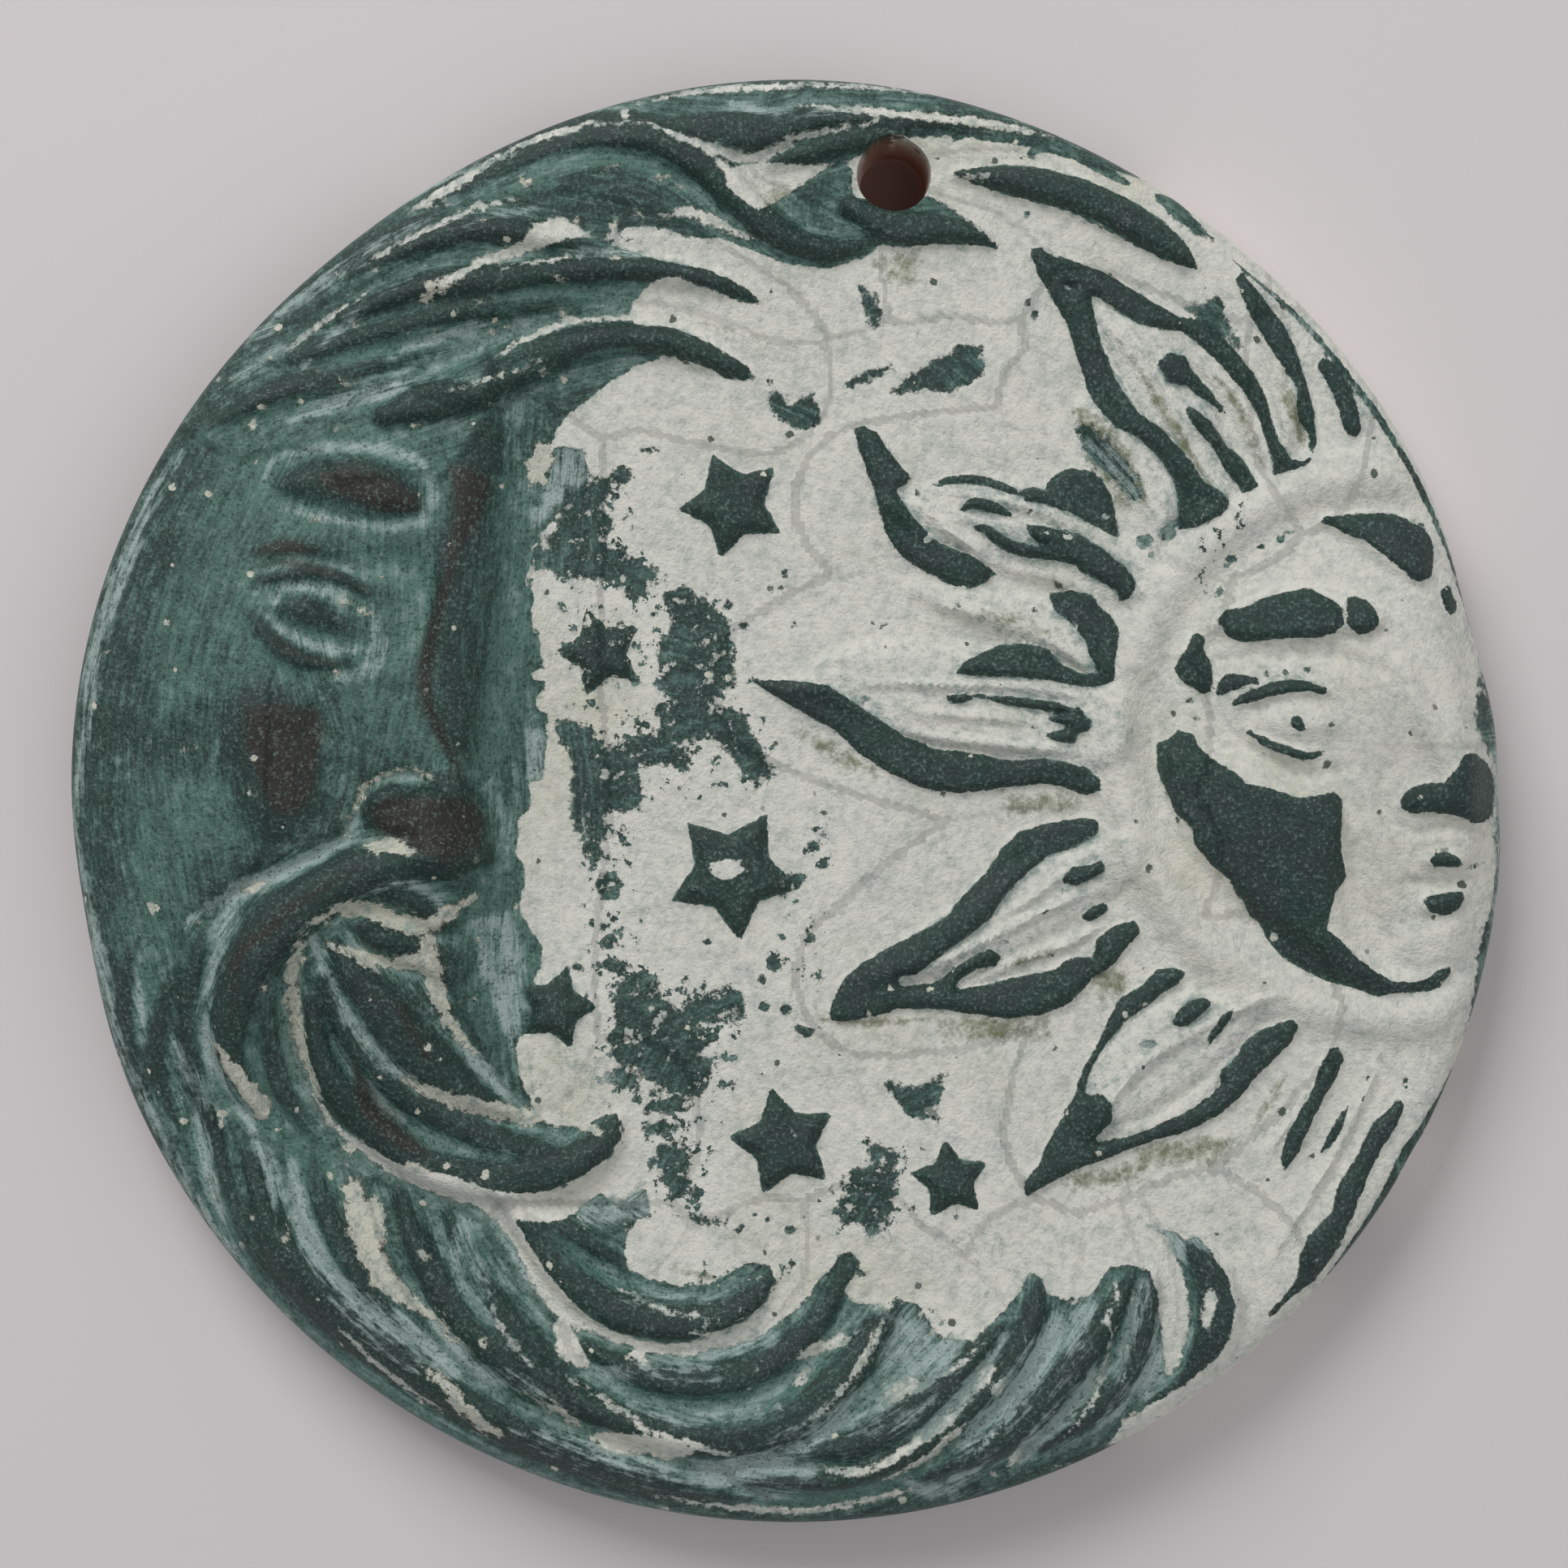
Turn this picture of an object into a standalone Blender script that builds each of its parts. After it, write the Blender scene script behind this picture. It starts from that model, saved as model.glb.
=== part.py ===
"""Round clay wall plaque with a moon, a sun and stars in low relief, hung by a nail hole near its top.

The plaque hangs upright: its front faces -Y, its flat back is the plane y = 0, and the origin is the
middle of the nail hole where it opens on the back. The picture was modelled upright and the hole was
pierced a little to one side of its top, so the picture leans when the plaque hangs.

The carving is drawn on a sheet in millimetres, x to the right and y down from the sheet's corner. Each
carved form runs along a line from its root to its tip. The two bows are how far that line stands to
the left of the straight way at one third and at two thirds of it.
"""
import math

import bmesh
import bpy
import numpy as np

MM = 0.001

# driving sizes of the disc, in metres
DISC_RADIUS = 0.0888
SLAB_THICKNESS = 0.0120
EDGE_DROP = 0.0030
EDGE_BREADTH = 0.0042
SIDE_BULGE = 0.0004
NAIL_HOLE_FRONT_RADIUS = 0.0046
NAIL_HOLE_BACK_RADIUS = 0.0040
NAIL_HOLE_FROM_RIM = 0.0102
NAIL_HOLE_ABOVE_CENTRE = DISC_RADIUS - NAIL_HOLE_FROM_RIM
PICTURE_LEAN = math.radians(9.7)

# heights of the broad masses over the slab, in metres
MOON_HEAD_HEIGHT = 0.0062
SUN_HEAD_HEIGHT = 0.0036
HAIR_SWELL_HEIGHT = 0.0022
HOOD_HEIGHT = 0.0024
STAR_HEIGHT = 0.0013
CARVING_SHARE = 1.0

# the sheet that the picture is drawn on, in millimetres
SHEET_DISC_RADIUS = 88.8
SHEET_MIDDLE = (96.9, 99.0)
SUN_MIDDLE = (171.5, 91.8)
HOOD_RADIUS = 33.6
HOOD_BREADTH = 3.3

# how closely the front is modelled
HEXAGON_SIDES = 6
RINGS = 104
FRONT_TRIANGLES = 8600
HOLE_SIDES = 48
LINE_STEPS = 14

# rise and fall of the rim's outline: bearing in degrees, rise in millimetres, spread in degrees
RIM_SWELLS = (
    (85, 1.0, 22),
    (128, -0.8, 16),
    (165, 0.2, 12),
    (190, -0.8, 9),
    (292, 0.5, 34),
    (1, -0.5, 4),
    (15, -1.3, 8),
)

# each form: root, tip, bow at a third, bow at two thirds, half breadth, height, in sheet millimetres
TOP_LOCKS = (
    ((53.0, 24.5), (108.7, 29.7), 10.0, 4.5, 2.7, 2.4),
    ((80.5, 15.6), (125.0, 15.8), -0.6, 0.7, 2.3, 2.0),
    ((94.0, 20.6), (111.0, 16.6), 0.4, 0.3, 1.7, 1.8),
    ((104.5, 25.5), (122.8, 30.4), -1.0, 0.4, 2.2, 2.0),
    ((117.6, 21.6), (147.4, 33.0), 2.4, 2.6, 2.3, 2.2),
    ((44.0, 33.5), (74.0, 31.0), 3.0, 2.9, 2.0, 1.8),
    ((42.0, 39.5), (93.8, 37.0), 3.6, 4.4, 2.2, 2.0),
    ((36.0, 44.5), (74.0, 36.8), 1.0, 1.3, 2.0, 1.6),
    ((48.0, 51.5), (93.2, 46.6), 4.3, 6.4, 3.1, 2.6),
    ((27.0, 52.0), (55.0, 43.0), 1.4, 0.9, 1.9, 1.4),
    ((38.0, 36.0), (54.0, 26.5), 1.0, 0.8, 1.8, 1.5),
)
FOOT_LOCKS = (
    ((61.0, 146.0), (95.6, 157.0), -8.3, -8.9, 3.1, 2.6),
    ((64.0, 148.5), (77.0, 156.0), -0.5, -0.4, 2.0, 1.6),
    ((72.0, 165.4), (105.0, 155.5), -8.0, -8.2, 2.6, 2.0),
    ((60.0, 164.0), (111.0, 160.3), -11.8, -13.6, 3.3, 2.6),
    ((96.0, 178.4), (123.6, 163.0), -3.6, -2.8, 2.8, 2.2),
    ((92.0, 182.0), (128.0, 157.4), -7.8, -7.6, 2.1, 2.2),
    ((114.0, 181.6), (139.6, 156.4), -3.2, -3.0, 2.7, 2.4),
    ((128.0, 178.0), (142.0, 155.4), -3.8, -3.8, 1.8, 2.0),
    ((141.6, 174.2), (146.5, 153.6), -5.6, -5.6, 3.0, 2.2),
    ((49.0, 146.0), (75.0, 175.6), -3.8, -3.9, 2.6, 2.2),
    ((55.0, 149.0), (70.0, 168.0), -2.1, -1.6, 2.1, 1.8),
    ((31.0, 143.0), (92.0, 184.4), -10.0, -8.5, 3.4, 2.2),
    ((25.6, 137.0), (41.0, 165.0), -2.2, -2.5, 1.9, 1.4),
    ((38.0, 141.0), (50.6, 163.6), -1.8, -2.0, 2.1, 1.6),
)
SIDE_STRANDS = (
    ((23.0, 118.0), (21.4, 138.0), -2.2, -2.6, 1.7, 1.2),
    ((18.0, 114.0), (18.0, 136.0), -2.2, -2.4, 1.7, 1.1),
    ((27.6, 113.0), (27.6, 140.0), -3.0, -4.0, 1.9, 1.3),
)
BEARD_LOCKS = (
    ((60.0, 105.6), (33.0, 138.0), -11.5, -13.6, 4.0, 3.0),
    ((34.6, 118.0), (39.0, 140.0), -2.6, -2.4, 2.0, 1.8),
    ((42.0, 116.0), (63.4, 137.0), -2.6, -2.9, 3.8, 2.6),
    ((40.4, 120.0), (69.0, 141.4), -5.4, -5.2, 2.6, 2.3),
    ((38.8, 123.0), (76.7, 137.0), -12.4, -13.4, 3.3, 3.0),
)
MOON_FACE = (
    ((34.6, 60.0), (53.0, 63.0), 1.2, 1.4, 4.0, 1.7),
    ((32.0, 72.2), (46.6, 73.6), 1.6, 1.7, 1.3, 1.2),
    ((31.2, 75.2), (43.6, 82.0), -2.1, -2.0, 1.3, 1.1),
    ((34.4, 75.0), (44.4, 78.0), 0.3, 0.2, 2.8, 1.3),
    ((53.0, 100.0), (57.4, 103.0), 0.0, 0.0, 6.0, 2.6),
    ((47.5, 99.0), (51.0, 101.6), 0.0, 0.0, 4.0, 2.4),
    ((33.6, 88.0), (34.8, 99.0), 0.0, 0.0, 6.8, 1.5),
    ((45.6, 110.8), (54.0, 112.2), 1.0, 0.9, 1.7, 1.3),
    ((43.4, 113.4), (52.0, 116.4), 0.0, -0.2, 2.0, 1.5),
    ((26.4, 53.4), (62.6, 50.6), 3.0, 4.0, 1.6, 0.9),
)
MOON_NOSE_RIDGE = ((60.5, 44.0), (57.0, 98.0), -1.6, -2.4, 4.8, 1.8)
SUN_FACE = (
    ((150.0, 77.2), (169.0, 76.4), 1.0, 0.9, 3.5, 1.3),
    ((162.6, 64.4), (174.6, 70.4), 1.2, 1.4, 3.0, 1.0),
    ((152.2, 86.8), (162.8, 85.3), 0.9, 0.7, 1.2, 1.2),
    ((154.0, 90.8), (161.0, 93.2), -0.8, -0.7, 1.0, 1.1),
    ((154.0, 88.9), (165.0, 89.8), 0.0, 0.0, 2.6, 1.0),
    ((144.0, 92.0), (176.0, 121.0), -0.6, -3.8, 6.5, 1.6),
    ((172.0, 82.0), (180.4, 97.0), -0.5, -0.4, 4.2, 1.9),
    ((173.8, 98.6), (178.0, 98.4), 0.0, 0.0, 2.0, 1.0),
    ((175.4, 105.8), (179.6, 105.9), 0.0, 0.0, 1.3, 1.0),
    ((175.2, 111.6), (179.4, 110.8), 0.0, 0.0, 1.6, 1.1),
    ((174.0, 117.0), (180.0, 115.0), 0.0, 0.0, 4.0, 1.2),
)
SMALL_RAYS = (
    ((161.7, 57.6), (152.0, 33.4), -1.9, -1.4, 1.6, 1.8),
    ((167.0, 53.4), (162.2, 44.4), -0.4, -0.4, 1.7, 1.6),
    ((164.6, 129.6), (157.8, 145.2), 0.0, 0.0, 1.9, 1.8),
    ((172.4, 136.2), (157.2, 162.0), 0.6, 0.8, 2.6, 1.9),
)

# the great rays about the sun's middle: bearing and length of the tip, bearings of the two feet on the
# hood, and the two bows of each side's band, in degrees and sheet millimetres
GREAT_RAYS = (
    (125.8, 74.7, 131.7, 112.0, (1.9, 0.5), (4.3, 3.4)),
    (149.2, 77.2, 163.0, 143.0, (4.5, 5.6), (1.6, -1.0)),
    (174.7, 79.5, 187.8, 168.1, (1.8, 4.6), (4.0, 2.2)),
    (206.2, 77.5, 216.0, 195.3, (2.8, -0.6), (2.2, 1.6)),
    (231.1, 71.2, 250.5, 227.0, (2.6, -0.6), (0.9, 0.8)),
)
RAY_FOOT_RADIUS = 37.5
RAY_BAND_BREADTH = 2.5
RAY_BAND_HEIGHT = 2.1
RAY_LEAF_BREADTH = 5.4
RAY_LEAF_HEIGHT = 1.2

# stars: middle on the sheet, radius of the points, bearing of the first point in degrees
STARS = (
    ((90.3, 62.2), 6.4, 113),
    ((74.0, 80.4), 4.7, 108),
    ((90.3, 107.6), 8.0, 60),
    ((68.4, 124.3), 4.5, 75),
    ((96.6, 140.8), 6.2, 103),
    ((117.1, 145.4), 4.6, 98),
)
STAR_WAIST = 0.5
STAR_POINTS = 5
CLAY_GREEN = (0.045, 0.095, 0.082, 1.0)
CLAY_ROUGHNESS = 0.82


def soft_step(depth, shoulder):
    """Climb smoothly from 0 at an edge to 1 where the shoulder ends."""
    share = np.clip(depth / shoulder, 0.0, 1.0)
    return share * share * (3.0 - 2.0 * share)


def rim_radius(bearing):
    """Radius of the disc at each bearing, in metres."""
    radius = np.full_like(bearing, SHEET_DISC_RADIUS)
    for middle, rise, spread in RIM_SWELLS:
        turn = np.angle(np.exp(1j * (bearing - math.radians(middle))))
        radius += rise * np.exp(-(turn / math.radians(spread)) ** 2)
    return radius * DISC_RADIUS / SHEET_DISC_RADIUS


def bowed_line(root, tip, bow_third, bow_two_thirds):
    """Points of a cubic curve from root to tip that stands off the straight way by the two bows."""
    root, tip = np.array(root), np.array(tip)
    way = tip - root
    length = np.linalg.norm(way)
    left = np.array((way[1], -way[0])) / length
    first = 3.0 * bow_third - 1.5 * bow_two_thirds
    second = 3.0 * bow_two_thirds - 1.5 * bow_third
    t = np.linspace(0.0, 1.0, LINE_STEPS + 1)[:, None]
    stand_off = 3.0 * t * (1.0 - t) * ((1.0 - t) * first + t * second)
    return root + way * t + left * stand_off


def carved_form(x, y, form, root_share=0.3):
    """Height in sheet millimetres that one form gives to each place on the sheet."""
    root, tip, bow_third, bow_two_thirds, breadth, height = form
    line = bowed_line(root, tip, bow_third, bow_two_thirds)
    share = np.linspace(0.0, 1.0, LINE_STEPS + 1)
    width = breadth * np.clip(root_share + (1.0 - root_share) * np.sin(math.pi * share ** 0.8) ** 0.7, 0.12, 1.0)
    near = np.zeros(x.shape, bool)
    near |= (x > line[:, 0].min() - breadth) & (x < line[:, 0].max() + breadth)
    near &= (y > line[:, 1].min() - breadth) & (y < line[:, 1].max() + breadth)
    px, py = x[near], y[near]
    best = np.full(px.shape, -1.0)
    for k in range(LINE_STEPS):
        step = line[k + 1] - line[k]
        along = ((px - line[k, 0]) * step[0] + (py - line[k, 1]) * step[1]) / max(step @ step, 1e-9)
        along = np.clip(along, 0.0, 1.0)
        gap = np.hypot(px - line[k, 0] - along * step[0], py - line[k, 1] - along * step[1])
        local = width[k] + (width[k + 1] - width[k]) * along
        best = np.maximum(best, (1.0 - gap / local) * np.minimum(1.0, local / (0.4 * breadth)))
    raised = np.zeros(x.shape)
    raised[near] = height * np.sin(np.clip(best / 0.75, 0.0, 1.0) * math.pi / 2.0)
    return raised


def tallest(x, y, forms, root_share=0.3):
    """Height of a group of forms, each place taking the tallest of them."""
    top = np.zeros(x.shape)
    for form in forms:
        top = np.maximum(top, carved_form(x, y, form, root_share))
    return top


def great_ray_forms():
    """Side bands and inner leaf of each great ray, as forms that run from the hood to the tip."""
    bands, leaves = [], []
    for bearing, length, left_foot, right_foot, left_bows, right_bows in GREAT_RAYS:
        tip = on_sun(bearing, length)
        middle_foot = on_sun((left_foot + right_foot) / 2.0, RAY_FOOT_RADIUS)
        bands.append((on_sun(left_foot, RAY_FOOT_RADIUS), tip, *left_bows, RAY_BAND_BREADTH, RAY_BAND_HEIGHT))
        right = (-right_bows[0], -right_bows[1])
        bands.append((on_sun(right_foot, RAY_FOOT_RADIUS), tip, *right, RAY_BAND_BREADTH, RAY_BAND_HEIGHT))
        leaves.append((middle_foot, tip, 0.0, 0.0, RAY_LEAF_BREADTH, RAY_LEAF_HEIGHT))
    return bands, leaves


def on_sun(bearing, radius):
    """Place on the sheet at a bearing in degrees and a distance from the sun's middle."""
    angle = math.radians(bearing)
    return (SUN_MIDDLE[0] + radius * math.cos(angle), SUN_MIDDLE[1] - radius * math.sin(angle))


def star_height(x, y, middle, radius, first_point):
    """Share of the star's height, 0 outside it and 1 on its flat top."""
    fold = math.pi / STAR_POINTS
    bearing = np.arctan2(middle[1] - y, x - middle[0]) - math.radians(first_point)
    bearing = np.abs((bearing + fold) % (2.0 * fold) - fold)
    reach = np.hypot(x - middle[0], y - middle[1])
    waist = (radius * STAR_WAIST * math.cos(fold), radius * STAR_WAIST * math.sin(fold))
    normal = np.array((waist[1], radius - waist[0]))
    normal /= np.linalg.norm(normal)
    inside = (radius - reach * np.cos(bearing)) * normal[0] - reach * np.sin(bearing) * normal[1]
    return soft_step(inside, 0.8)


def moon_head(x, y, from_rim):
    """Share of the moon's head: it falls to the ground at its profile and more slowly to the rim."""
    profile = 67.0 + 1.6 * np.sin((y - 57.0) / 26.0 * math.pi / 2.0) - 2.4 * np.exp(-((y - 98.0) / 7.0) ** 2)
    to_profile = soft_step(profile - x, 15.0)
    to_rim = soft_step(from_rim + 6.0, 34.0)
    window = soft_step(y - 38.0, 22.0) * soft_step(146.0 - y, 30.0)
    return to_profile * to_rim * window


def sun_head(x, y):
    """Share of the sun's head, a low dome inside the hood."""
    reach = np.hypot((x - SUN_MIDDLE[0]) / HOOD_RADIUS, (y - SUN_MIDDLE[1]) / HOOD_RADIUS)
    return soft_step(1.0 - reach, 0.75)


def hood(x, y):
    """Share of the rolled hood around the sun's face."""
    off = np.abs(np.hypot(x - SUN_MIDDLE[0], y - SUN_MIDDLE[1]) - HOOD_RADIUS)
    return soft_step(HOOD_BREADTH - off, HOOD_BREADTH)


def hair_swell(from_rim, x, y):
    """Share of the swell that carries the hair over the top and along the foot."""
    belt = soft_step(30.0 - from_rim, 20.0) * soft_step(from_rim + 4.0, 14.0)
    top = soft_step(118.0 - x, 60.0) * soft_step(60.0 - y, 24.0)
    foot = soft_step(158.0 - x, 44.0) * soft_step(y - 132.0, 26.0)
    return belt * np.maximum(top, foot)


def relief(x, y):
    """Height of the front over the slab at places on the sheet, in metres, before the edge falls."""
    bearing = np.arctan2(SHEET_MIDDLE[1] - y, x - SHEET_MIDDLE[0])
    sheet_rim = rim_radius(bearing) * SHEET_DISC_RADIUS / DISC_RADIUS
    from_rim = sheet_rim - np.hypot(x - SHEET_MIDDLE[0], y - SHEET_MIDDLE[1])
    bands, leaves = great_ray_forms()
    carved = np.maximum(tallest(x, y, TOP_LOCKS), tallest(x, y, FOOT_LOCKS))
    carved += tallest(x, y, SIDE_STRANDS)
    carved += tallest(x, y, BEARD_LOCKS)
    carved += tallest(x, y, MOON_FACE, 0.5)
    carved += carved_form(x, y, MOON_NOSE_RIDGE, 0.0)
    carved += tallest(x, y, SUN_FACE, 0.6)
    carved += np.maximum(tallest(x, y, bands, 0.6), tallest(x, y, leaves, 0.7))
    carved += tallest(x, y, SMALL_RAYS)
    height = carved * MM * CARVING_SHARE
    height += MOON_HEAD_HEIGHT * moon_head(x, y, from_rim)
    height += SUN_HEAD_HEIGHT * sun_head(x, y)
    height += HOOD_HEIGHT * hood(x, y)
    height += HAIR_SWELL_HEIGHT * hair_swell(from_rim, x, y)
    for middle, radius, first_point in STARS:
        height += STAR_HEIGHT * star_height(x, y, middle, radius, first_point)
    return height


def clear_scene():
    """Take away every object that the file opened with."""
    for old in list(bpy.data.objects):
        bpy.data.objects.remove(old, do_unlink=True)


def add_collection(name):
    """Make a collection in the scene."""
    collection = bpy.data.collections.new(name)
    bpy.context.scene.collection.children.link(collection)
    return collection


def move_to(item, collection):
    """Put an object in one collection only."""
    for holder in list(item.users_collection):
        holder.objects.unlink(item)
    collection.objects.link(item)


def clay_material():
    """Green painted clay."""
    material = bpy.data.materials.new("painted_clay")
    material.use_nodes = True
    shader = material.node_tree.nodes["Principled BSDF"]
    shader.inputs["Base Color"].default_value = CLAY_GREEN
    shader.inputs["Roughness"].default_value = CLAY_ROUGHNESS
    shader.inputs["Metallic"].default_value = 0.0
    return material


def add_front_sheet(collection):
    """Six-sided fan of triangles, cut into a lattice with the same number of rings all round."""
    bpy.ops.mesh.primitive_circle_add(vertices=HEXAGON_SIDES, radius=1.0, fill_type="TRIFAN")
    sheet = bpy.context.object
    sheet.name = "plaque"
    sheet.data.name = "plaque"
    move_to(sheet, collection)
    mesh = bmesh.new()
    mesh.from_mesh(sheet.data)
    for cuts in (7, RINGS // 8 - 1):
        bmesh.ops.subdivide_edges(mesh, edges=mesh.edges[:], cuts=cuts, use_grid_fill=True)
    mesh.to_mesh(sheet.data)
    mesh.free()
    return sheet


def lattice_polar(places):
    """Share of the radius and bearing of each lattice point once the hexagon is rounded to a disc."""
    half = math.pi / HEXAGON_SIDES
    bearing = np.arctan2(places[:, 1], places[:, 0])
    sector = (bearing + half) % (2.0 * half) - half
    ring = np.hypot(places[:, 0], places[:, 1]) * np.cos(sector) / math.cos(half)
    side = np.tan(sector) / math.tan(half)
    return ring, bearing - sector + side * half


def carve_front(sheet):
    """Round the lattice to the rim's outline and raise the relief on it, facing -Y."""
    count = len(sheet.data.vertices)
    flat = np.empty(count * 3)
    sheet.data.vertices.foreach_get("co", flat)
    ring, bearing = lattice_polar(flat.reshape(-1, 3)[:, :2])
    radius = ring * rim_radius(bearing)
    scale = SHEET_DISC_RADIUS / DISC_RADIUS
    x = SHEET_MIDDLE[0] + radius * np.cos(bearing) * scale
    y = SHEET_MIDDLE[1] - radius * np.sin(bearing) * scale
    from_edge = rim_radius(bearing) - radius
    turn_in = 1.0 - np.clip(from_edge / EDGE_BREADTH, 0.0, 1.0)
    fall = EDGE_DROP * (1.0 - np.sqrt(1.0 - turn_in ** 2))
    height = SLAB_THICKNESS + relief(x, y) * soft_step(from_edge, EDGE_BREADTH * 1.5) - fall
    hung = bearing + PICTURE_LEAN
    points = np.empty((count, 3))
    points[:, 0] = radius * np.cos(hung)
    points[:, 1] = -height
    points[:, 2] = radius * np.sin(hung) - NAIL_HOLE_ABOVE_CENTRE
    sheet.data.vertices.foreach_set("co", points.ravel())
    sheet.data.update()


def thin_front(sheet):
    """Bring the front down to its share of triangles, keeping them where the carving needs them."""
    thin = sheet.modifiers.new("thin", "DECIMATE")
    thin.decimate_type = "COLLAPSE"
    thin.ratio = FRONT_TRIANGLES / len(sheet.data.polygons)
    graph = bpy.context.evaluated_depsgraph_get()
    thinned = bpy.data.meshes.new_from_object(sheet.evaluated_get(graph))
    sheet.modifiers.clear()
    sheet.data = thinned


def close_back(sheet):
    """Draw the rim back to the wall plane with a slight bulge on its way, and close the back flat."""
    mesh = bmesh.new()
    mesh.from_mesh(sheet.data)
    middle = -NAIL_HOLE_ABOVE_CENTRE
    bulged = (DISC_RADIUS + SIDE_BULGE) / DISC_RADIUS
    for depth, swell in ((-SLAB_THICKNESS * 0.45, bulged), (0.0, 1.0 / bulged)):
        border = [edge for edge in mesh.edges if edge.is_boundary]
        drawn = bmesh.ops.extrude_edge_only(mesh, edges=border)
        for vertex in drawn["geom"]:
            if isinstance(vertex, bmesh.types.BMVert):
                vertex.co.x *= swell
                vertex.co.y = depth
                vertex.co.z = middle + (vertex.co.z - middle) * swell
    border = [edge for edge in mesh.edges if edge.is_boundary]
    back = bmesh.ops.edgeloop_fill(mesh, edges=border)
    bmesh.ops.triangulate(mesh, faces=back["faces"])
    bmesh.ops.recalc_face_normals(mesh, faces=mesh.faces[:])
    mesh.to_mesh(sheet.data)
    mesh.free()


def add_hole_cutter(collection):
    """Tapered peg that was pushed through the soft clay for the nail, wider at the front."""
    past = SLAB_THICKNESS
    length = SLAB_THICKNESS + 2.0 * past
    taper = (NAIL_HOLE_FRONT_RADIUS - NAIL_HOLE_BACK_RADIUS) / SLAB_THICKNESS
    bpy.ops.mesh.primitive_cone_add(
        vertices=HOLE_SIDES,
        radius1=NAIL_HOLE_FRONT_RADIUS + taper * past,
        radius2=NAIL_HOLE_BACK_RADIUS - taper * past,
        depth=length,
        location=(0.0, -SLAB_THICKNESS / 2.0, 0.0),
        rotation=(-math.pi / 2.0, 0.0, 0.0),
    )
    cutter = bpy.context.object
    cutter.name = "nail_hole_cutter"
    cutter.hide_render = True
    cutter.display_type = "WIRE"
    move_to(cutter, collection)
    return cutter


def pierce(sheet, cutter):
    """Cut the nail hole."""
    cut = sheet.modifiers.new("nail_hole", "BOOLEAN")
    cut.operation = "DIFFERENCE"
    cut.solver = "EXACT"
    cut.object = cutter


def main():
    """Build the plaque."""
    clear_scene()
    parts = add_collection("wall_plaque")
    cutters = add_collection("cutters")
    plaque = add_front_sheet(parts)
    carve_front(plaque)
    thin_front(plaque)
    close_back(plaque)
    plaque.data.materials.append(clay_material())
    plaque.data.shade_smooth()
    plaque.data.set_sharp_from_angle(angle=math.radians(40.0))
    pierce(plaque, add_hole_cutter(cutters))


main()
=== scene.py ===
"""Looks of the round clay wall plaque: its fine carving, its worn paint, and the studio around it.

The carving and the paint are drawn on a sheet in millimetres, x to the right and y down from the
sheet's corner, as the picture stands upright. The hung plaque leans from that by its nail hole's place.
"""

import logging
import math
from dataclasses import dataclass, field
from typing import Iterable, Sequence

import bpy
import numpy as np
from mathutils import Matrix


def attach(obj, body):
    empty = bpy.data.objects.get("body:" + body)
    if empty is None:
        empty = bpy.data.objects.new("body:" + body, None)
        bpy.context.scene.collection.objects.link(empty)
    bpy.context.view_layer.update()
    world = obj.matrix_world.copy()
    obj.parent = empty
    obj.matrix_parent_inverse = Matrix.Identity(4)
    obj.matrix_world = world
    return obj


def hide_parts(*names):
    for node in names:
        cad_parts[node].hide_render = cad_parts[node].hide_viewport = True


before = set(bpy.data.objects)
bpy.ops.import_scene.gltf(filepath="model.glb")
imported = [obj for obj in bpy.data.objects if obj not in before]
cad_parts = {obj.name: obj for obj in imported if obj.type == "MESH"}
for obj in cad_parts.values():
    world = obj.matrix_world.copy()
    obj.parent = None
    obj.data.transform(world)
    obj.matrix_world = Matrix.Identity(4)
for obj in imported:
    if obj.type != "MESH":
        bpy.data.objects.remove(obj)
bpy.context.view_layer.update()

log = logging.getLogger("wall_plaque")

MM = 0.001
SHEET_SIDE = 193.2
DISC_MIDDLE = (96.9, 99.0)
DISC_RADIUS = 88.8
PICTURE_LEAN = math.radians(9.7)
HOLE_FRONT_RADIUS = 4.6
HOLE_BACK_RADIUS = 4.0
HOLE_ABOVE_MIDDLE = 78.6
SUN_MIDDLE = (171.5, 91.8)
FULL = 3.0
STUDIO_LIGHT = 0.72

Point = tuple[float, float]
Array = np.ndarray


def soft_step(depth: Array, shoulder: float) -> Array:
    """Climb smoothly from 0 at an edge to 1 where the shoulder ends."""
    share = np.clip(depth / shoulder, 0.0, 1.0)
    return share * share * (3.0 - 2.0 * share)


def above(values: Array, edge: Point) -> Array:
    """1 where the values are well over an edge, given by its place and its shoulder."""
    return soft_step(values - edge[0], edge[1])


def below(values: Array, edge: Point) -> Array:
    """1 where the values are well under an edge, given by its place and its shoulder."""
    return soft_step(edge[0] - values, edge[1])


def smooth_line(rows: Sequence[Sequence[float]], steps: int = 6) -> Array:
    """Points of a smooth curve through the rows, which may hold a breadth after x and y."""
    knots = np.array(rows, float)
    if len(knots) < 3:
        steps = 1
    ends = np.vstack([2 * knots[0] - knots[1], knots, 2 * knots[-1] - knots[-2]])
    t = (np.arange(steps) / steps)[:, None]
    pieces = []
    for a, b, c, d in zip(ends, ends[1:], ends[2:], ends[3:]):
        bend = (2 * a - 5 * b + 4 * c - d) * t ** 2 + (3 * b - a - 3 * c + d) * t ** 3
        pieces.append(b + 0.5 * ((c - a) * t + bend))
    pieces.append(knots[-1:])
    return np.vstack(pieces)


@dataclass(frozen=True)
class Shape:
    """Something drawn on the sheet."""

    points: tuple[Point, ...]

    def reach(self) -> float:
        """How far the shape may stand out from its points."""
        return 0.0

    def depth(self, x: Array, y: Array) -> Array:
        """How far inside the shape each place lies, negative outside."""
        raise NotImplementedError


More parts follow.
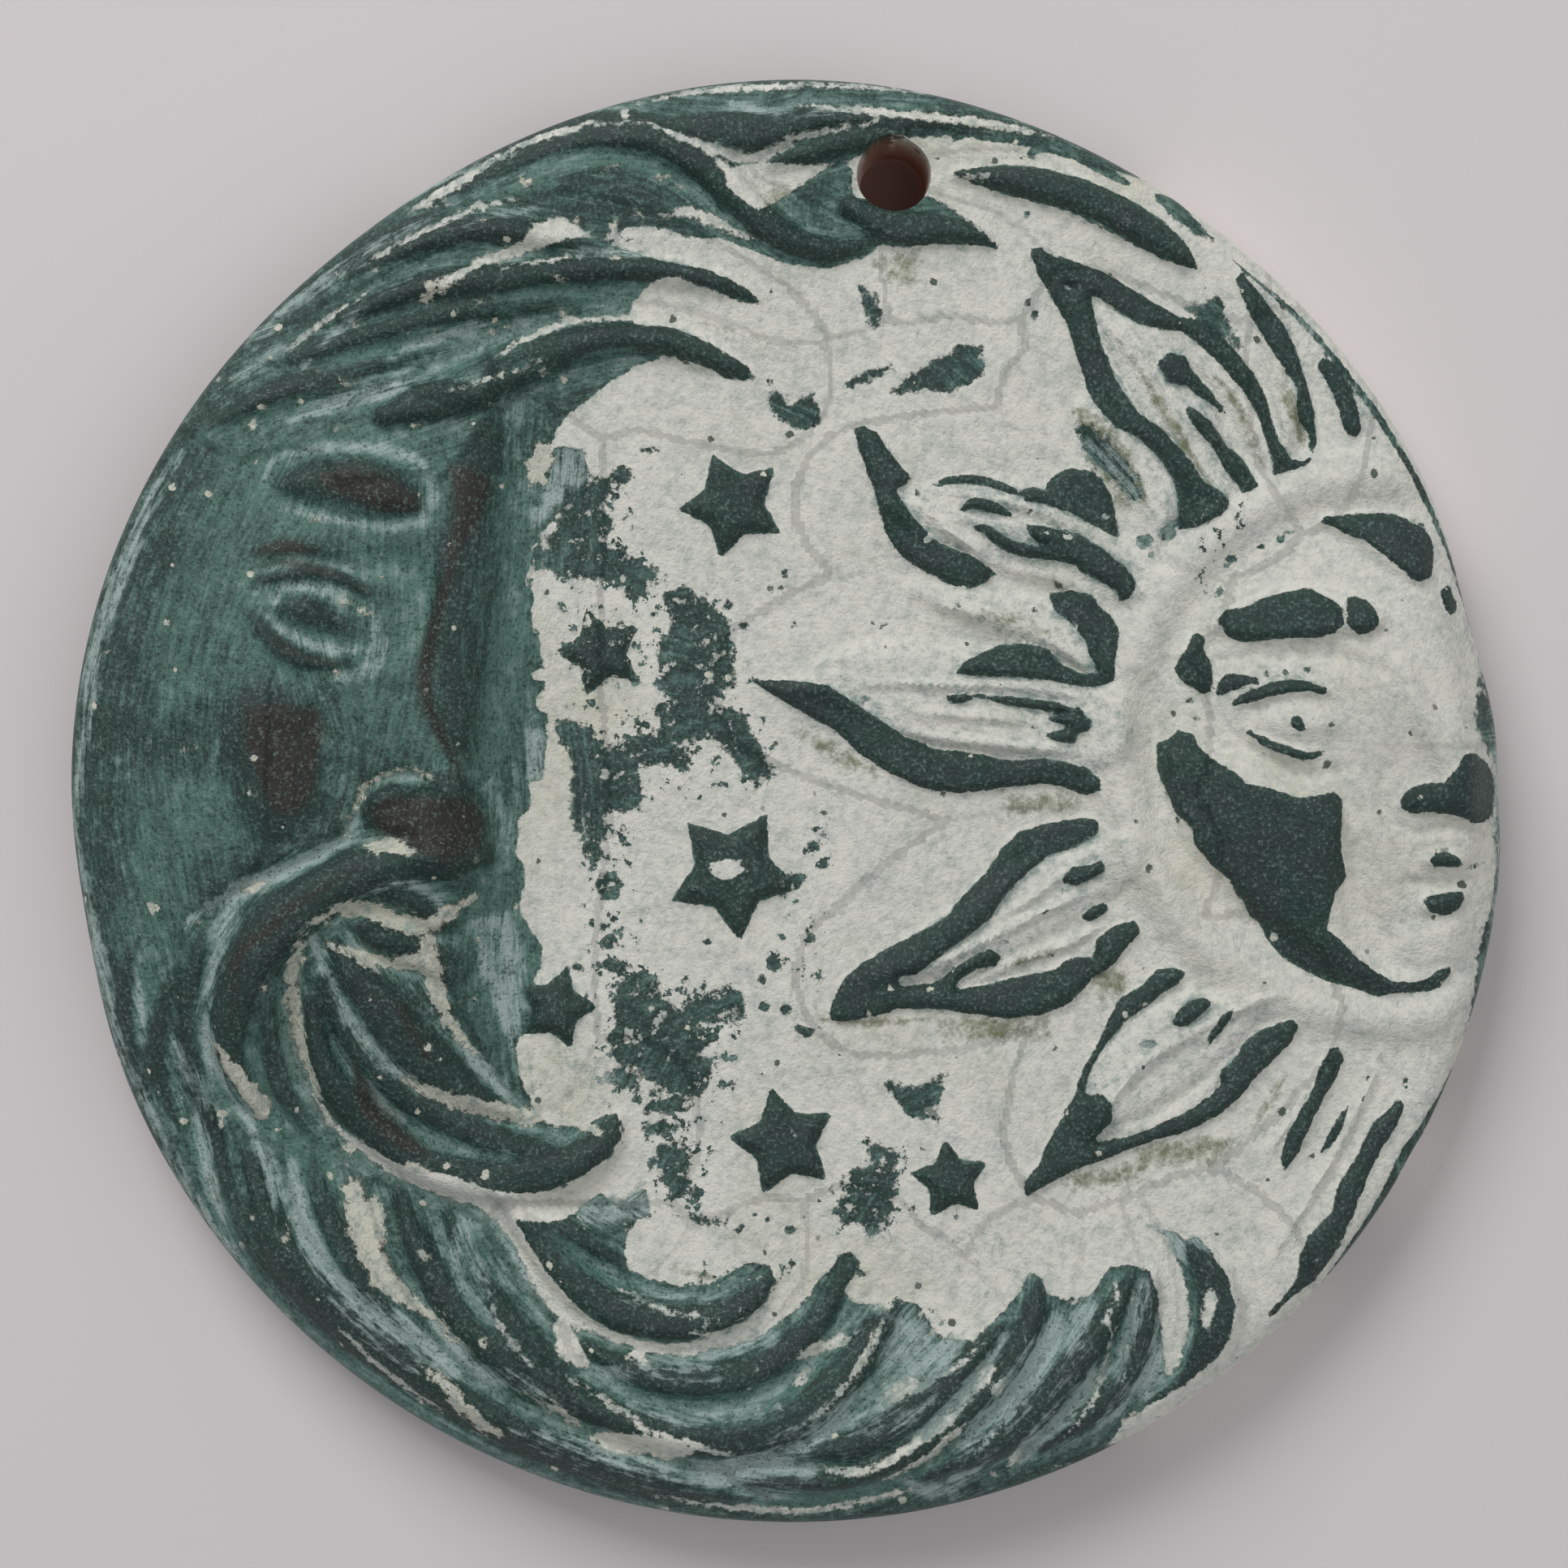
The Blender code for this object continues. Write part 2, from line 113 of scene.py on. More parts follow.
@dataclass(frozen=True)
class Stroke(Shape):
    """A form that runs along a line from its root to its tip.

    breadth gives half the width at even shares of the line, height how far it stands out and shoulder
    how broad its rounded edge is.
    """

    breadth: tuple[float, ...] = (1.0,)
    height: float = 1.0
    shoulder: float = 1.0

    def reach(self) -> float:
        """How far the stroke stands out from its line."""
        return max(self.breadth)

    def line(self) -> Array:
        """Rows of x, y and half width along the stroke."""
        share = np.linspace(0, 1, len(self.points))
        widths = np.interp(share, np.linspace(0, 1, len(self.breadth)), self.breadth)
        rows = smooth_line([(*point, width) for point, width in zip(self.points, widths)])
        rows[:, 2] = np.maximum(rows[:, 2], 0.02)
        return rows

    def follow(self, x: Array, y: Array) -> tuple[Array, Array, Array, Array]:
        """Depth, half width, distance across and distance along the stroke at each place."""
        rows = self.line()
        best = np.full(x.shape, -99.0)
        width, across, along = (np.zeros(x.shape) for _ in range(3))
        travelled = 0.0
        for start, step in zip(rows, np.diff(rows, axis=0)):
            length = max(math.hypot(step[0], step[1]), 1e-6)
            off_x, off_y = x - start[0], y - start[1]
            t = np.clip((off_x * step[0] + off_y * step[1]) / length ** 2, 0, 1)
            local = start[2] + step[2] * t
            gap = local - np.hypot(off_x - step[0] * t, off_y - step[1] * t)
            nearer = gap > best
            best = np.where(nearer, gap, best)
            width = np.where(nearer, local, width)
            across = np.where(nearer, (off_y * step[0] - off_x * step[1]) / length, across)
            along = np.where(nearer, travelled + t * length, along)
            travelled += length
        return best, width, across, along

    def depth(self, x: Array, y: Array) -> Array:
        """How far inside the stroke each place lies."""
        return self.follow(x, y)[0]

    def rise(self, x: Array, y: Array) -> Array:
        """Height that the stroke gives to each place, thinner where it tapers."""
        depth, width, _, _ = self.follow(x, y)
        shoulder = np.minimum(self.shoulder, np.maximum(width, 0.05))
        taper = np.minimum(1.0, width / self.shoulder) ** 0.7
        return self.height * taper * np.sin(np.clip(depth / shoulder, 0, 1) * math.pi / 2)


@dataclass(frozen=True)
class Patch(Shape):
    """An area inside a closed outline."""

    def depth(self, x: Array, y: Array) -> Array:
        """How far inside the outline each place lies."""
        corners = np.array(self.points, float)
        away = np.full(x.shape, 1e9)
        inside = np.zeros(x.shape, bool)
        for (ax, ay), (bx, by) in zip(corners, np.roll(corners, -1, axis=0)):
            dx, dy = bx - ax, by - ay
            t = np.clip(((x - ax) * dx + (y - ay) * dy) / max(dx * dx + dy * dy, 1e-9), 0, 1)
            away = np.minimum(away, np.hypot(x - ax - dx * t, y - ay - dy * t))
            if dy:
                inside ^= ((ay > y) != (by > y)) & (x < ax + (y - ay) * dx / dy)
        return np.where(inside, away, -away)


@dataclass(frozen=True)
class Star(Shape):
    """A five-pointed star, given by its middle, the radius of its points and the first one's bearing."""

    radius: float = 5.0
    bearing: float = 90.0
    waist: float = 0.56

    def reach(self) -> float:
        """How far the points stand out from the middle."""
        return self.radius

    def depth(self, x: Array, y: Array) -> Array:
        """How far inside the star each place lies."""
        (middle_x, middle_y), = self.points
        fold = math.pi / 5
        bearing = np.arctan2(middle_y - y, x - middle_x) - math.radians(self.bearing)
        bearing = np.abs((bearing + fold) % (2 * fold) - fold)
        away = np.hypot(x - middle_x, y - middle_y)
        notch_x = self.radius * self.waist * math.cos(fold)
        notch_y = self.radius * self.waist * math.sin(fold)
        size = math.hypot(notch_y, self.radius - notch_x)
        straight = (self.radius - away * np.cos(bearing)) * notch_y
        return (straight - away * np.sin(bearing) * (self.radius - notch_x)) / size


@dataclass(frozen=True)
class Spot(Shape):
    """An oval fleck."""

    length: float = 0.5
    breadth: float = 0.0
    turn: float = 0.0

    def reach(self) -> float:
        """How far the oval stands out from its middle."""
        return max(self.length, self.breadth)

    def depth(self, x: Array, y: Array) -> Array:
        """How far inside the oval each place lies."""
        (middle_x, middle_y), = self.points
        breadth = self.breadth or self.length
        lean = math.radians(self.turn)
        u = (x - middle_x) * math.cos(lean) + (y - middle_y) * math.sin(lean)
        v = (y - middle_y) * math.cos(lean) - (x - middle_x) * math.sin(lean)
        return (1 - np.hypot(u / self.length, v / breadth)) * min(self.length, breadth)


Shapes = tuple[Shape, ...]
Strokes = tuple[Stroke, ...]


def areas(*rows: Sequence[float]) -> tuple[Patch, ...]:
    """Closed outlines from rows of x, y, x, y and so on."""
    return tuple(Patch(tuple(zip(row[::2], row[1::2]))) for row in rows)


def forms(*rows: Sequence[float | Sequence[float]]) -> Strokes:
    """Modelled forms from rows of height, shoulder, half widths from root to tip, and x, y, x, y on."""
    return tuple(Stroke(tuple(zip(row[3::2], row[4::2])), row[2], row[0], row[1]) for row in rows)


def runs(*rows: Sequence[float]) -> Strokes:
    """Brushed lines that thin at both ends, from rows of half width, x, y, x, y and so on."""
    return tuple(
        Stroke(tuple(zip(row[1::2], row[2::2])), (row[0] * 0.4, row[0], row[0], row[0] * 0.4)) for row in rows
    )


def spots(*rows: Sequence[float]) -> tuple[Spot, ...]:
    """Flecks from rows of x, y, half length and, for ovals, half breadth and turn in degrees."""
    return tuple(Spot((row[:2],), *row[2:]) for row in rows)


@dataclass
class Sheet:
    """Even grid of places that the carving and the paint are worked out on."""

    pitch: float = 0.35
    margin: float = 0.5
    x: Array = field(init=False)
    y: Array = field(init=False)

    def __post_init__(self) -> None:
        """Lay out the grid."""
        steps = np.arange(int(SHEET_SIDE / self.pitch) + 1) * self.pitch
        self.x, self.y = np.meshgrid(steps, steps)

    def blank(self, value: float = 0.0) -> Array:
        """A field with one value all over."""
        return np.full(self.x.shape, value)

    def window(self, shape: Shape, margin: float) -> tuple[slice, slice]:
        """Rows and columns of the grid that a shape can touch."""
        spread = shape.reach() + margin
        corners = np.array(shape.points, float)
        low = np.maximum((corners.min(0) - spread) / self.pitch, 0).astype(int)
        high = ((corners.max(0) + spread) / self.pitch).astype(int) + 2
        return slice(low[1], high[1]), slice(low[0], high[0])

    def blur(self, values: Array, spread: float) -> Array:
        """The field smoothed over a distance."""
        rates = np.fft.fftfreq(values.shape[0], self.pitch), np.fft.rfftfreq(values.shape[1], self.pitch)
        fall = [np.exp(-2 * (math.pi * spread * rate) ** 2) for rate in rates]
        return np.fft.irfft2(np.fft.rfft2(values) * np.outer(*fall), s=values.shape)

    def clouds(self, spread: float, seed: int) -> Array:
        """Seeded soft noise with unit deviation and lumps of a given size."""
        rough = np.random.default_rng(seed).standard_normal(self.x.shape)
        soft = self.blur(rough, spread)
        return soft / soft.std()

    def raise_forms(self, strokes: Iterable[Stroke]) -> Array:
        """Height of a group of forms, each place taking the tallest."""
        top = self.blank()
        for stroke in strokes:
            near = self.window(stroke, self.margin)
            top[near] = np.maximum(top[near], stroke.rise(self.x[near], self.y[near]))
        return top

    def raise_tops(self, shapes: Iterable[Shape], height: float, shoulder: float) -> Array:
        """Height of a group of flat-topped forms with rounded edges."""
        top = self.blank()
        for shape in shapes:
            near = self.window(shape, self.margin)
            depth = shape.depth(self.x[near], self.y[near])
            rise = height * np.sin(np.clip(depth / shoulder, 0, 1) * math.pi / 2)
            top[near] = np.maximum(top[near], rise)
        return top

    def sample(self, values: Array, x: Array, y: Array) -> Array:
        """Values of a field at any places, blended between the grid's own."""
        column = np.clip(x / self.pitch, 0, values.shape[1] - 1.001)
        row = np.clip(y / self.pitch, 0, values.shape[0] - 1.001)
        c, r = column.astype(int), row.astype(int)
        u, v = column - c, row - r
        upper = values[r, c] * (1 - u) + values[r, c + 1] * u
        lower = values[r + 1, c] * (1 - u) + values[r + 1, c + 1] * u
        return upper * (1 - v) + lower * v


@dataclass
class Coat:
    """A coat of paint with a ragged edge: its field is above zero where the coat lies."""

    sheet: Sheet
    field: Array = field(init=False)

    def __post_init__(self) -> None:
        """Start with no paint anywhere."""
        self.field = self.sheet.blank(-FULL)

    def lay(self, shapes: Iterable[Shape], ragged: float = 0.4, grow: float = 0.0) -> None:
        """Brush the coat on.

        Args:
            shapes: where it goes.
            ragged: how far its edge wanders, in millimetres.
            grow: how far it goes past the shapes.
        """
        for shape in shapes:
            near = self.sheet.window(shape, FULL * ragged + grow)
            depth = shape.depth(self.sheet.x[near], self.sheet.y[near])
            self.field[near] = np.maximum(self.field[near], np.minimum((depth + grow) / ragged, FULL))

    def rub(self, shapes: Iterable[Shape], ragged: float = 0.4, grow: float = 0.0) -> None:
        """Take the coat off where the shapes are, with the same options."""
        for shape in shapes:
            near = self.sheet.window(shape, FULL * ragged + grow)
            depth = shape.depth(self.sheet.x[near], self.sheet.y[near])
            self.field[near] = np.minimum(self.field[near], np.maximum(-(depth + grow) / ragged, -FULL))


@dataclass
class Tone:
    """A soft tint with a strength from 0 to 1 over the sheet."""

    sheet: Sheet
    field: Array = field(init=False)

    def __post_init__(self) -> None:
        """Start with no tint anywhere."""
        self.field = self.sheet.blank()

    def dab(self, shapes: Iterable[Shape], strength: float = 1.0, soft: float = 1.0) -> None:
        """Add the tint inside the shapes, fading over a distance at their edges."""
        for shape in shapes:
            near = self.sheet.window(shape, soft)
            depth = shape.depth(self.sheet.x[near], self.sheet.y[near])
            tint = strength * soft_step(depth + soft / 2, soft)
            self.field[near] = np.maximum(self.field[near], tint)

    def wipe(self, shapes: Iterable[Shape], strength: float = 1.0, soft: float = 1.0) -> None:
        """Take the tint away inside the shapes."""
        for shape in shapes:
            near = self.sheet.window(shape, soft)
            depth = shape.depth(self.sheet.x[near], self.sheet.y[near])
            self.field[near] *= 1 - strength * soft_step(depth + soft / 2, soft)


@dataclass
class Paint:
    """All the coats and tints of the plaque's front."""

    sheet: Sheet
    pale: Coat = field(init=False)
    cream: Coat = field(init=False)
    teal: Tone = field(init=False)
    haze: Tone = field(init=False)
    worn: Tone = field(init=False)
    # olive stains along the leaves, and painted shade below the raised bands and locks
    olive_stain_and_shade: Tone = field(init=False)
    polish: Tone = field(init=False)
    crumbs: Tone = field(init=False)

    def __post_init__(self) -> None:
        """Start with plain dark green all over."""
        self.pale, self.cream = Coat(self.sheet), Coat(self.sheet)
        self.teal, self.haze, self.worn = (Tone(self.sheet) for _ in range(3))
        self.olive_stain_and_shade, self.polish, self.crumbs = (Tone(self.sheet) for _ in range(3))


@dataclass
class Hair:
    """Locks of hair over the top and along the foot, and the strands beside the beard."""

    swell: float = 2.2
    belt_inside: Point = (30, 20)
    belt_outside: Point = (-4, 14)
    top_right: Point = (118, 60)
    top_end: Point = (60, 24)
    foot_right: Point = (158, 44)
    foot_start: Point = (132, 26)
    top: Strokes = forms(
        (2.4, 1.8, (1.2, 2.2, 2.8, 2.8, 2.8, 2.6, 2.2, 1.6, .3), 53, 24.5, 62, 19.5, 71, 16.2, 80, 16.8, 87,
         20.5, 91.5, 25, 96.5, 29.2, 102, 30.8, 108.7, 29.7),
        (2, 1.2, (1.2, 2.4, 2.6, 1.5, 1.2, .3), 80.5, 15.6, 87.5, 16.3, 94, 16.4, 102, 14.9, 113, 15, 125,
         15.8),
        (1.8, 1.2, (.5, 1.6, 1.8, 1.2), 94, 20.6, 99.5, 18.9, 105, 17.4, 111, 16.6),
        (2, 1, (1.4, 2.4, 2, 1.4, .3), 104.5, 25.5, 110, 28, 115, 28.2, 119.5, 28.8, 122.8, 30.4),
        (2.2, 1.1, (.6, 1.9, 2.2, 2.3, 1.8, .3), 117.6, 21.6, 125, 22.4, 132, 24, 139, 27.2, 144, 30.4,
         147.4, 33),
        (1.8, 1.8, (.8, 1.8, 2, 1.6, .5), 44, 33.5, 53, 30, 60, 28.6, 68, 29.8, 74, 31),
        (2, 1.6, (.8, 2, 2.2, 2, 1.8, 1.5, .3), 42, 39.5, 52, 36, 62, 34.8, 71, 33.6, 80, 33.4, 88, 34.8,
         93.8, 37),
        (1.6, 1.6, (.8, 1.8, 2, 1.6, .4), 36, 44.5, 46, 41.5, 56, 39, 66, 37.4, 74, 36.8),
        (2.6, 2.2, (2, 3.4, 3.4, 3, 2.5, 2.4, 1.8, .3), 48, 51.5, 56, 48.8, 62, 46, 68, 43.6, 75, 41.9, 81,
         41.9, 87, 43.9, 93.2, 46.6),
        (1.4, 1.6, (.6, 1.8, 1.8, .5), 27, 52, 36, 47.6, 46, 45, 55, 43),
        (1.5, 1.6, (.6, 1.8, .8), 38, 36, 46, 30, 54, 26.5),
    )
    foot: Strokes = forms(
        (2.6, 2.2, (1, 2.6, 3.2, 3, 2.8, 2.2, .5), 61, 146, 66, 152, 72, 158.6, 79, 162, 87, 162.4, 92,
         160.4, 95.6, 157),
        (1.6, 1.6, (1, 2, .8), 64, 148.5, 70, 151.5, 77, 156),
        (2, 2, (1, 2.4, 2.8, 2.6, 2, .5), 72, 165.4, 80, 169, 88, 169.6, 95, 167.4, 100.5, 163, 105, 155.5),
        (2.6, 2.4, (1, 2.2, 2.6, 3, 3.6, 3.4, 2.4, .4), 60, 164, 68, 169.6, 77, 174.4, 88, 176.6, 97, 174.6,
         103, 169.6, 107.6, 164.4, 111, 160.3),
        (2.2, 2, (1, 2.4, 3, 2.4, .6), 96, 178.4, 105, 177.4, 112.5, 173, 118, 168.5, 123.6, 163),
        (2.2, 1.7, (1, 1.8, 2, 2.1, 2.2, 1.9, .4), 92, 182, 102, 182.2, 110, 179.6, 117, 175, 123, 169, 127,
         162.6, 128, 157.4),
        (2.4, 2, (1.4, 2.6, 2.8, 2.4, .6), 114, 181.6, 123, 177, 130, 170.5, 135.6, 163.6, 139.6, 156.4),
        (2, 1.5, (1, 1.8, 1.8, 1.5, .5), 128, 178, 135, 173.4, 139.8, 167, 141.6, 160, 142, 155.4),
        (2.2, 1.4, (1.2, 2.8, 3.2, 2.8, .9), 141.6, 174.2, 147.6, 170, 150, 164, 149.6, 158, 146.5, 153.6),
        (2.2, 2.2, (1, 2.4, 2.8, 2.4, .6), 49, 146, 52.6, 155, 58.4, 163, 66, 170, 75, 175.6),
        (1.8, 1.8, (.8, 2, 2.2, .7), 55, 149, 58.6, 157, 63.6, 163, 70, 168),
        (2.2, 2.6, (1.4, 3, 3.6, 3.4, 3, 3, 2.8, 1.4), 31, 143, 34.4, 153, 40, 160.4, 48, 166.6, 57, 172.6,
         68, 178.4, 80, 182.4, 92, 184.4),
        (1.4, 1.8, (1, 1.8, 2, .8), 25.6, 137, 28.6, 147, 33.6, 157, 41, 165),
        (1.6, 2, (.8, 2.2, 2, .6), 38, 141, 40.4, 149, 44.6, 157, 50.6, 163.6),
    )
    side: Strokes = forms(
        (1.2, 1.5, (.6, 1.6, 1.8, .6), 23, 118, 20.4, 124, 19.4, 131, 21.4, 138),
        (1.1, 1.5, (.6, 1.6, 1.8, .6), 18, 114, 15.6, 121, 15.6, 129, 18, 136),
        (1.3, 1.7, (.6, 1.5, 2, 2, .6), 27.6, 113, 24.8, 119, 23.4, 127, 24.6, 134, 27.6, 140),
    )

    green: Shapes = runs(
        (.3, 115, 19.5, 128, 19.5),
        (.6, 126.5, 19, 128, 18.4, 130, 18),
        (.9, 142.5, 24, 145, 25.4, 148, 28.4),
        (.9, 130, 17.5, 134, 19.6, 139, 22.6),
        (.5, 105.5, 12, 110, 12),
        (.4, 111, 11.8, 114, 12.3),
        (.4, 117, 12.8, 122, 14),
        (.3, 110, 13.1, 117, 13.8),
        (1.2, 76.5, 163.6, 80, 164, 87, 164.8),
        (1.2, 110.5, 160.3, 108, 164, 105, 168, 100, 173, 98, 174.5),
        (.3, 140.2, 157, 139.5, 160, 139, 165, 138, 170),
        (.7, 180.4, 130.6, 178, 135, 175, 140, 173.5, 142, 170, 149, 166, 155, 160, 162.5, 156.5, 166.5),
        (.45, 152, 32, 160, 39, 168, 48.6, 174.6, 59, 179.6, 70.4, 183, 81),
        (.6, 183.4, 82, 184.6, 88, 185.6, 95, 185.6, 103, 184.6, 112, 184.2, 118, 183, 124, 180.6, 130),
    ) + areas(
        (114, 24, 118, 25.6, 122, 29, 122.5, 30.5, 116, 28.6, 108, 28.6, 105.5, 25.4, 108.6, 27),
        (117.2, 17.6, 117.6, 16.4, 120.5, 15.8, 124.6, 15.8, 119.6, 16.8),
    )
    white: Shapes = runs(
        (.7, 50, 26.2, 53, 24.5, 56, 22.8, 60, 20, 62.5, 18.8),
        (.35, 53, 25.5, 59.5, 25.2),
        (.5, 62.5, 18.5, 66, 17.2, 70, 16, 73.5, 14.8),
        (.6, 73.5, 15.5, 79.5, 15.5),
        (.45, 78, 12.5, 87, 11, 102, 10.3, 116, 11),
        (.6, 98, 13, 108, 14, 120, 15, 130, 16.6),
        (.6, 80, 15.5, 83, 17.2, 87, 18.5, 90, 19.5, 93, 19.5, 96, 18.5, 99, 17, 108, 15.3),
        (.5, 87, 19, 89.5, 21.5, 90.5, 24.5),
        (.65, 81.5, 26.8, 85, 26.3, 88, 27.5, 93, 29.8),
        (.9, 74.5, 29.5, 80, 29, 87, 30.6),
        (.3, 114.5, 24, 118, 25.8, 122.5, 29.5, 124, 30),
        (.5, 115.5, 21.8, 121.5, 22),
        (.5, 61.2, 44.7, 64, 42.5, 69, 40.2, 72, 39.5, 83, 39.1),
        (1.1, 41.4, 138.7, 45, 141.4, 48.7, 143.8, 54, 145.9, 60, 147.9, 64, 148.5, 70, 147, 76, 145.4),
        (.9, 60, 149, 62.5, 151, 64.5, 154, 66, 157, 68, 160, 70, 162, 72, 163.2, 74.5, 163.5),
        (.8, 70, 162, 76, 164.5, 82, 166, 87, 165.5, 93, 164, 96, 162, 98.5, 160.5, 100, 159),
        (.45, 70, 169, 74, 171.5, 78, 174, 80, 175.5, 85, 177, 90, 178.5, 95, 179.5),
        (.6, 101, 180, 102.5, 180.7, 106, 180.5, 110, 179, 113, 177, 116.5, 174.5, 118, 173, 120.5, 170, 122,
         169),
        (.5, 109, 182, 111, 181, 114, 179, 116, 177.5, 117.5, 176, 120, 174.5),
        (.35, 111, 172, 114, 170, 118, 167.5, 121.5, 165),
        (.5, 110, 160.5, 107.5, 165, 105, 169, 100, 175),
        (.9, 144, 153, 145, 157, 145.5, 161, 145, 166, 144, 169),
        (.3, 140.5, 157, 139.5, 160, 139, 165, 138, 170),
        (.6, 146, 178, 152, 174, 156, 168, 162, 160, 168, 149),
        (.4, 44, 33.4, 50, 30, 58, 26.4, 64, 24.6),
        (.35, 34, 44.6, 40, 39.8, 46, 36),
        (.35, 62, 33.6, 68, 32.4, 73, 31.6),
        (.3, 56, 48.6, 62, 46.6, 67, 44.6),
        (.4, 42, 163, 48, 169, 55, 174),
        (.35, 60, 157, 62, 163, 66, 168),
        (.35, 76, 158.4, 82, 161, 88, 162),
        (.35, 118, 180, 124, 174, 129, 166),
        (.35, 130, 178, 135, 171, 137, 163),
        (.5, 80, 184.2, 90, 185.8, 100, 186, 108, 184.6, 116, 182),
        (.5, 98.8, 174.8, 101, 173),
    ) + areas(
        (66.2, 27.8, 69, 27, 72, 28.5, 73.3, 29.5, 70, 30, 60, 33, 56, 35.6, 52.5, 37.3, 55.6, 34.6, 60,
         31.8, 65, 30),
        (100, 168, 98.5, 169, 97.2, 170.3, 98.5, 170.7, 99.5, 169.5),
        (108.7, 172.5, 109, 171.2, 112, 169, 113, 169.5, 113, 170.5, 110, 172.5, 109.2, 173.2),
        (120, 169.5, 120.5, 168.5, 122.5, 167.2, 122.8, 168, 122, 169.5, 121, 170),
        (121.8, 172.2, 122, 170, 123.5, 169, 124.7, 169.5, 123.5, 170.7, 122.5, 172),
        (124, 180.8, 124.3, 179.5, 125.5, 178, 126.8, 177.5, 127.2, 178, 126.2, 179, 125, 180.5),
        (148.8, 158.5, 149.5, 158.5, 149.7, 160, 149.3, 162, 148.5, 163.5, 148.2, 164.5, 147.7, 162.5, 148,
         160),
        (72.5, 176.5, 76, 175.8, 80, 176.2, 85, 177, 85.5, 178.5, 82, 179.5, 79, 178.5, 76.5, 179, 74, 178),
        (98, 167, 100, 165.2, 103, 164.5, 105.7, 163.7, 104, 165.5, 102, 166, 99, 167.5),
        (68.5, 165.2, 70, 164.3, 71, 165, 71.5, 167, 72.5, 168.5, 71, 168, 69, 166.5),
    ) + spots(
        (63.2, 19.2, .5), (77, 14, .7), (138.2, 150.8, .2), (137.4, 159, .4, 1), (136.2, 162, .5, 1.2, 10),
        (126, 165, .2, .5), (122.5, 181.5, .5, .25), (130, 181, .4, .2), (132, 180.7, .3, .2),
        (132.5, 160.5, .5, .3), (79.5, 167.7, .8, .7), (78.5, 166.7, 1.4, .7), (93.2, 168.3, .4),
        (95.5, 167.8, .3), (92.5, 170.9, .5, .4), (96, 172.8, .5, .3), (71.5, 150.2, .25), (72, 151.1, .3),
        (77.1, 151, .4), (71, 180.7, .35), (65, 176, .3), (80, 181.7, .3), (84.5, 185.2, .4, .3),
        (116, 169, .5, .3), (154.3, 158.5, .4, 1), (139.5, 175.5, 1.5, .8, 20),
    )
    cream: Shapes = areas(
        (42.5, 145, 44.5, 145, 45, 147, 47, 147.8, 47.8, 149, 48, 151, 47.5, 153.5, 49, 156.5, 51, 159, 54,
         161, 56, 163, 55.5, 164, 53, 162.5, 50, 161, 48, 159.5, 46, 158, 45, 156, 44, 154, 43, 151, 42.5,
         148),
        (46, 143, 48, 144, 50, 143, 51.5, 142.5, 53, 143.5, 56, 145, 56, 147.5, 53, 146, 51, 145.5, 49, 145,
         47, 144),
        (51, 37.5, 53, 35.5, 57.5, 33.5, 58, 34.5, 55.5, 36.5, 53, 38),
        (52.5, 167.5, 54, 168.2, 56, 169.7, 58, 171.8, 60, 174.2, 62.8, 176.2, 61, 177.2, 59.2, 176.2, 57.5,
         174.5, 56, 173.5, 54.5, 170.5, 52.8, 169),
    ) + runs(
        (.7, 65, 171, 69, 173.5, 72, 175.5),
        (.5, 56.5, 167.4, 61, 169.4),
    ) + spots(
        (65, 22.5, 1, .8), (75.5, 20.8, 1.5, .5), (81.6, 22, .9, .7), (83.5, 23, .5, .2),
        (56, 164.4, 1.5, .7, 20), (59.8, 164.7, .6, .8), (67.5, 172, 1.2, .5), (31.1, 149.2, .4, .7),
        (35.8, 151, .3, 1.6), (26.5, 146.6, .3, .9), (34, 154.3, .3), (52.8, 154.4, 1.4, .3, 45),
        (39.8, 159.7, .4), (51.8, 172.4, 1, .6, 55), (29.2, 153.4, .9, .4), (31.2, 52.4, .6),
        (27.5, 46.8, .8, .3), (37.5, 44, .3), (44, 40, .5), (41.5, 34.2, .3), (46.5, 33, .4, .6),
        (48, 33.1, .3), (54, 41.2, .3), (34.6, 48.2, .5, .3, 40), (33.3, 50.2, .3), (43.8, 50, .8, .3),
        (52, 52.7, .3), (66.8, 46.2, .4), (60.6, 50.3, .4), (69.3, 38.7, .6), (67.2, 39.7, .4),
        (75.7, 44.2, .3), (76, 32, .6), (75.5, 28, .5), (71.3, 27.5, .5), (79, 26.6, .7), (60.2, 27.9, .4),
        (65.8, 29, .3), (64, 37, .4), (59.5, 37.5, .6, .3), (42, 47, 1.1, .3, 20), (62, 40.6, 1.2, .3, -20),
        (70, 34.6, 1.6, .2, -8), (24, 150, .3, .8, -20),
    )
    pale_teal: Shapes = runs(
        (1.4, 24, 54.5, 30, 52, 33, 50.5, 45, 50.5, 56, 50),
        (.9, 64, 23.5, 68, 20.7, 74, 19.8, 80, 21, 86.5, 24.5),
        (.7, 69, 25, 74, 23.8),
        (1.6, 60, 38.4, 68, 36.6, 78, 36.8),
        (1.6, 60, 24.4, 68, 23),
        (3, 26, 134, 32, 137, 38, 142, 39, 149, 42, 156),
        (3, 24, 140, 27, 148, 31, 156, 38, 166, 46, 173, 56, 179, 66, 183),
        (2.4, 76, 171, 86, 174, 96, 172, 106, 166),
        (2, 84, 183, 96, 184.6, 108, 183, 120, 179),
        (1.8, 52, 48, 60, 45.6, 70, 43.4, 78, 43),
        (1.6, 40, 46, 50, 42.6, 58, 40.6),
        (1.6, 57.5, 149, 58.2, 158, 61, 165),
        (1.4, 64.5, 150.6, 70, 154.6, 77, 158.8),
        (.8, 66.5, 156, 69, 159, 72, 161.5, 74.5, 163),
        (2.2, 111.5, 169, 115.5, 166),
        (1.4, 137, 157.2, 139.4, 157.2),
    )
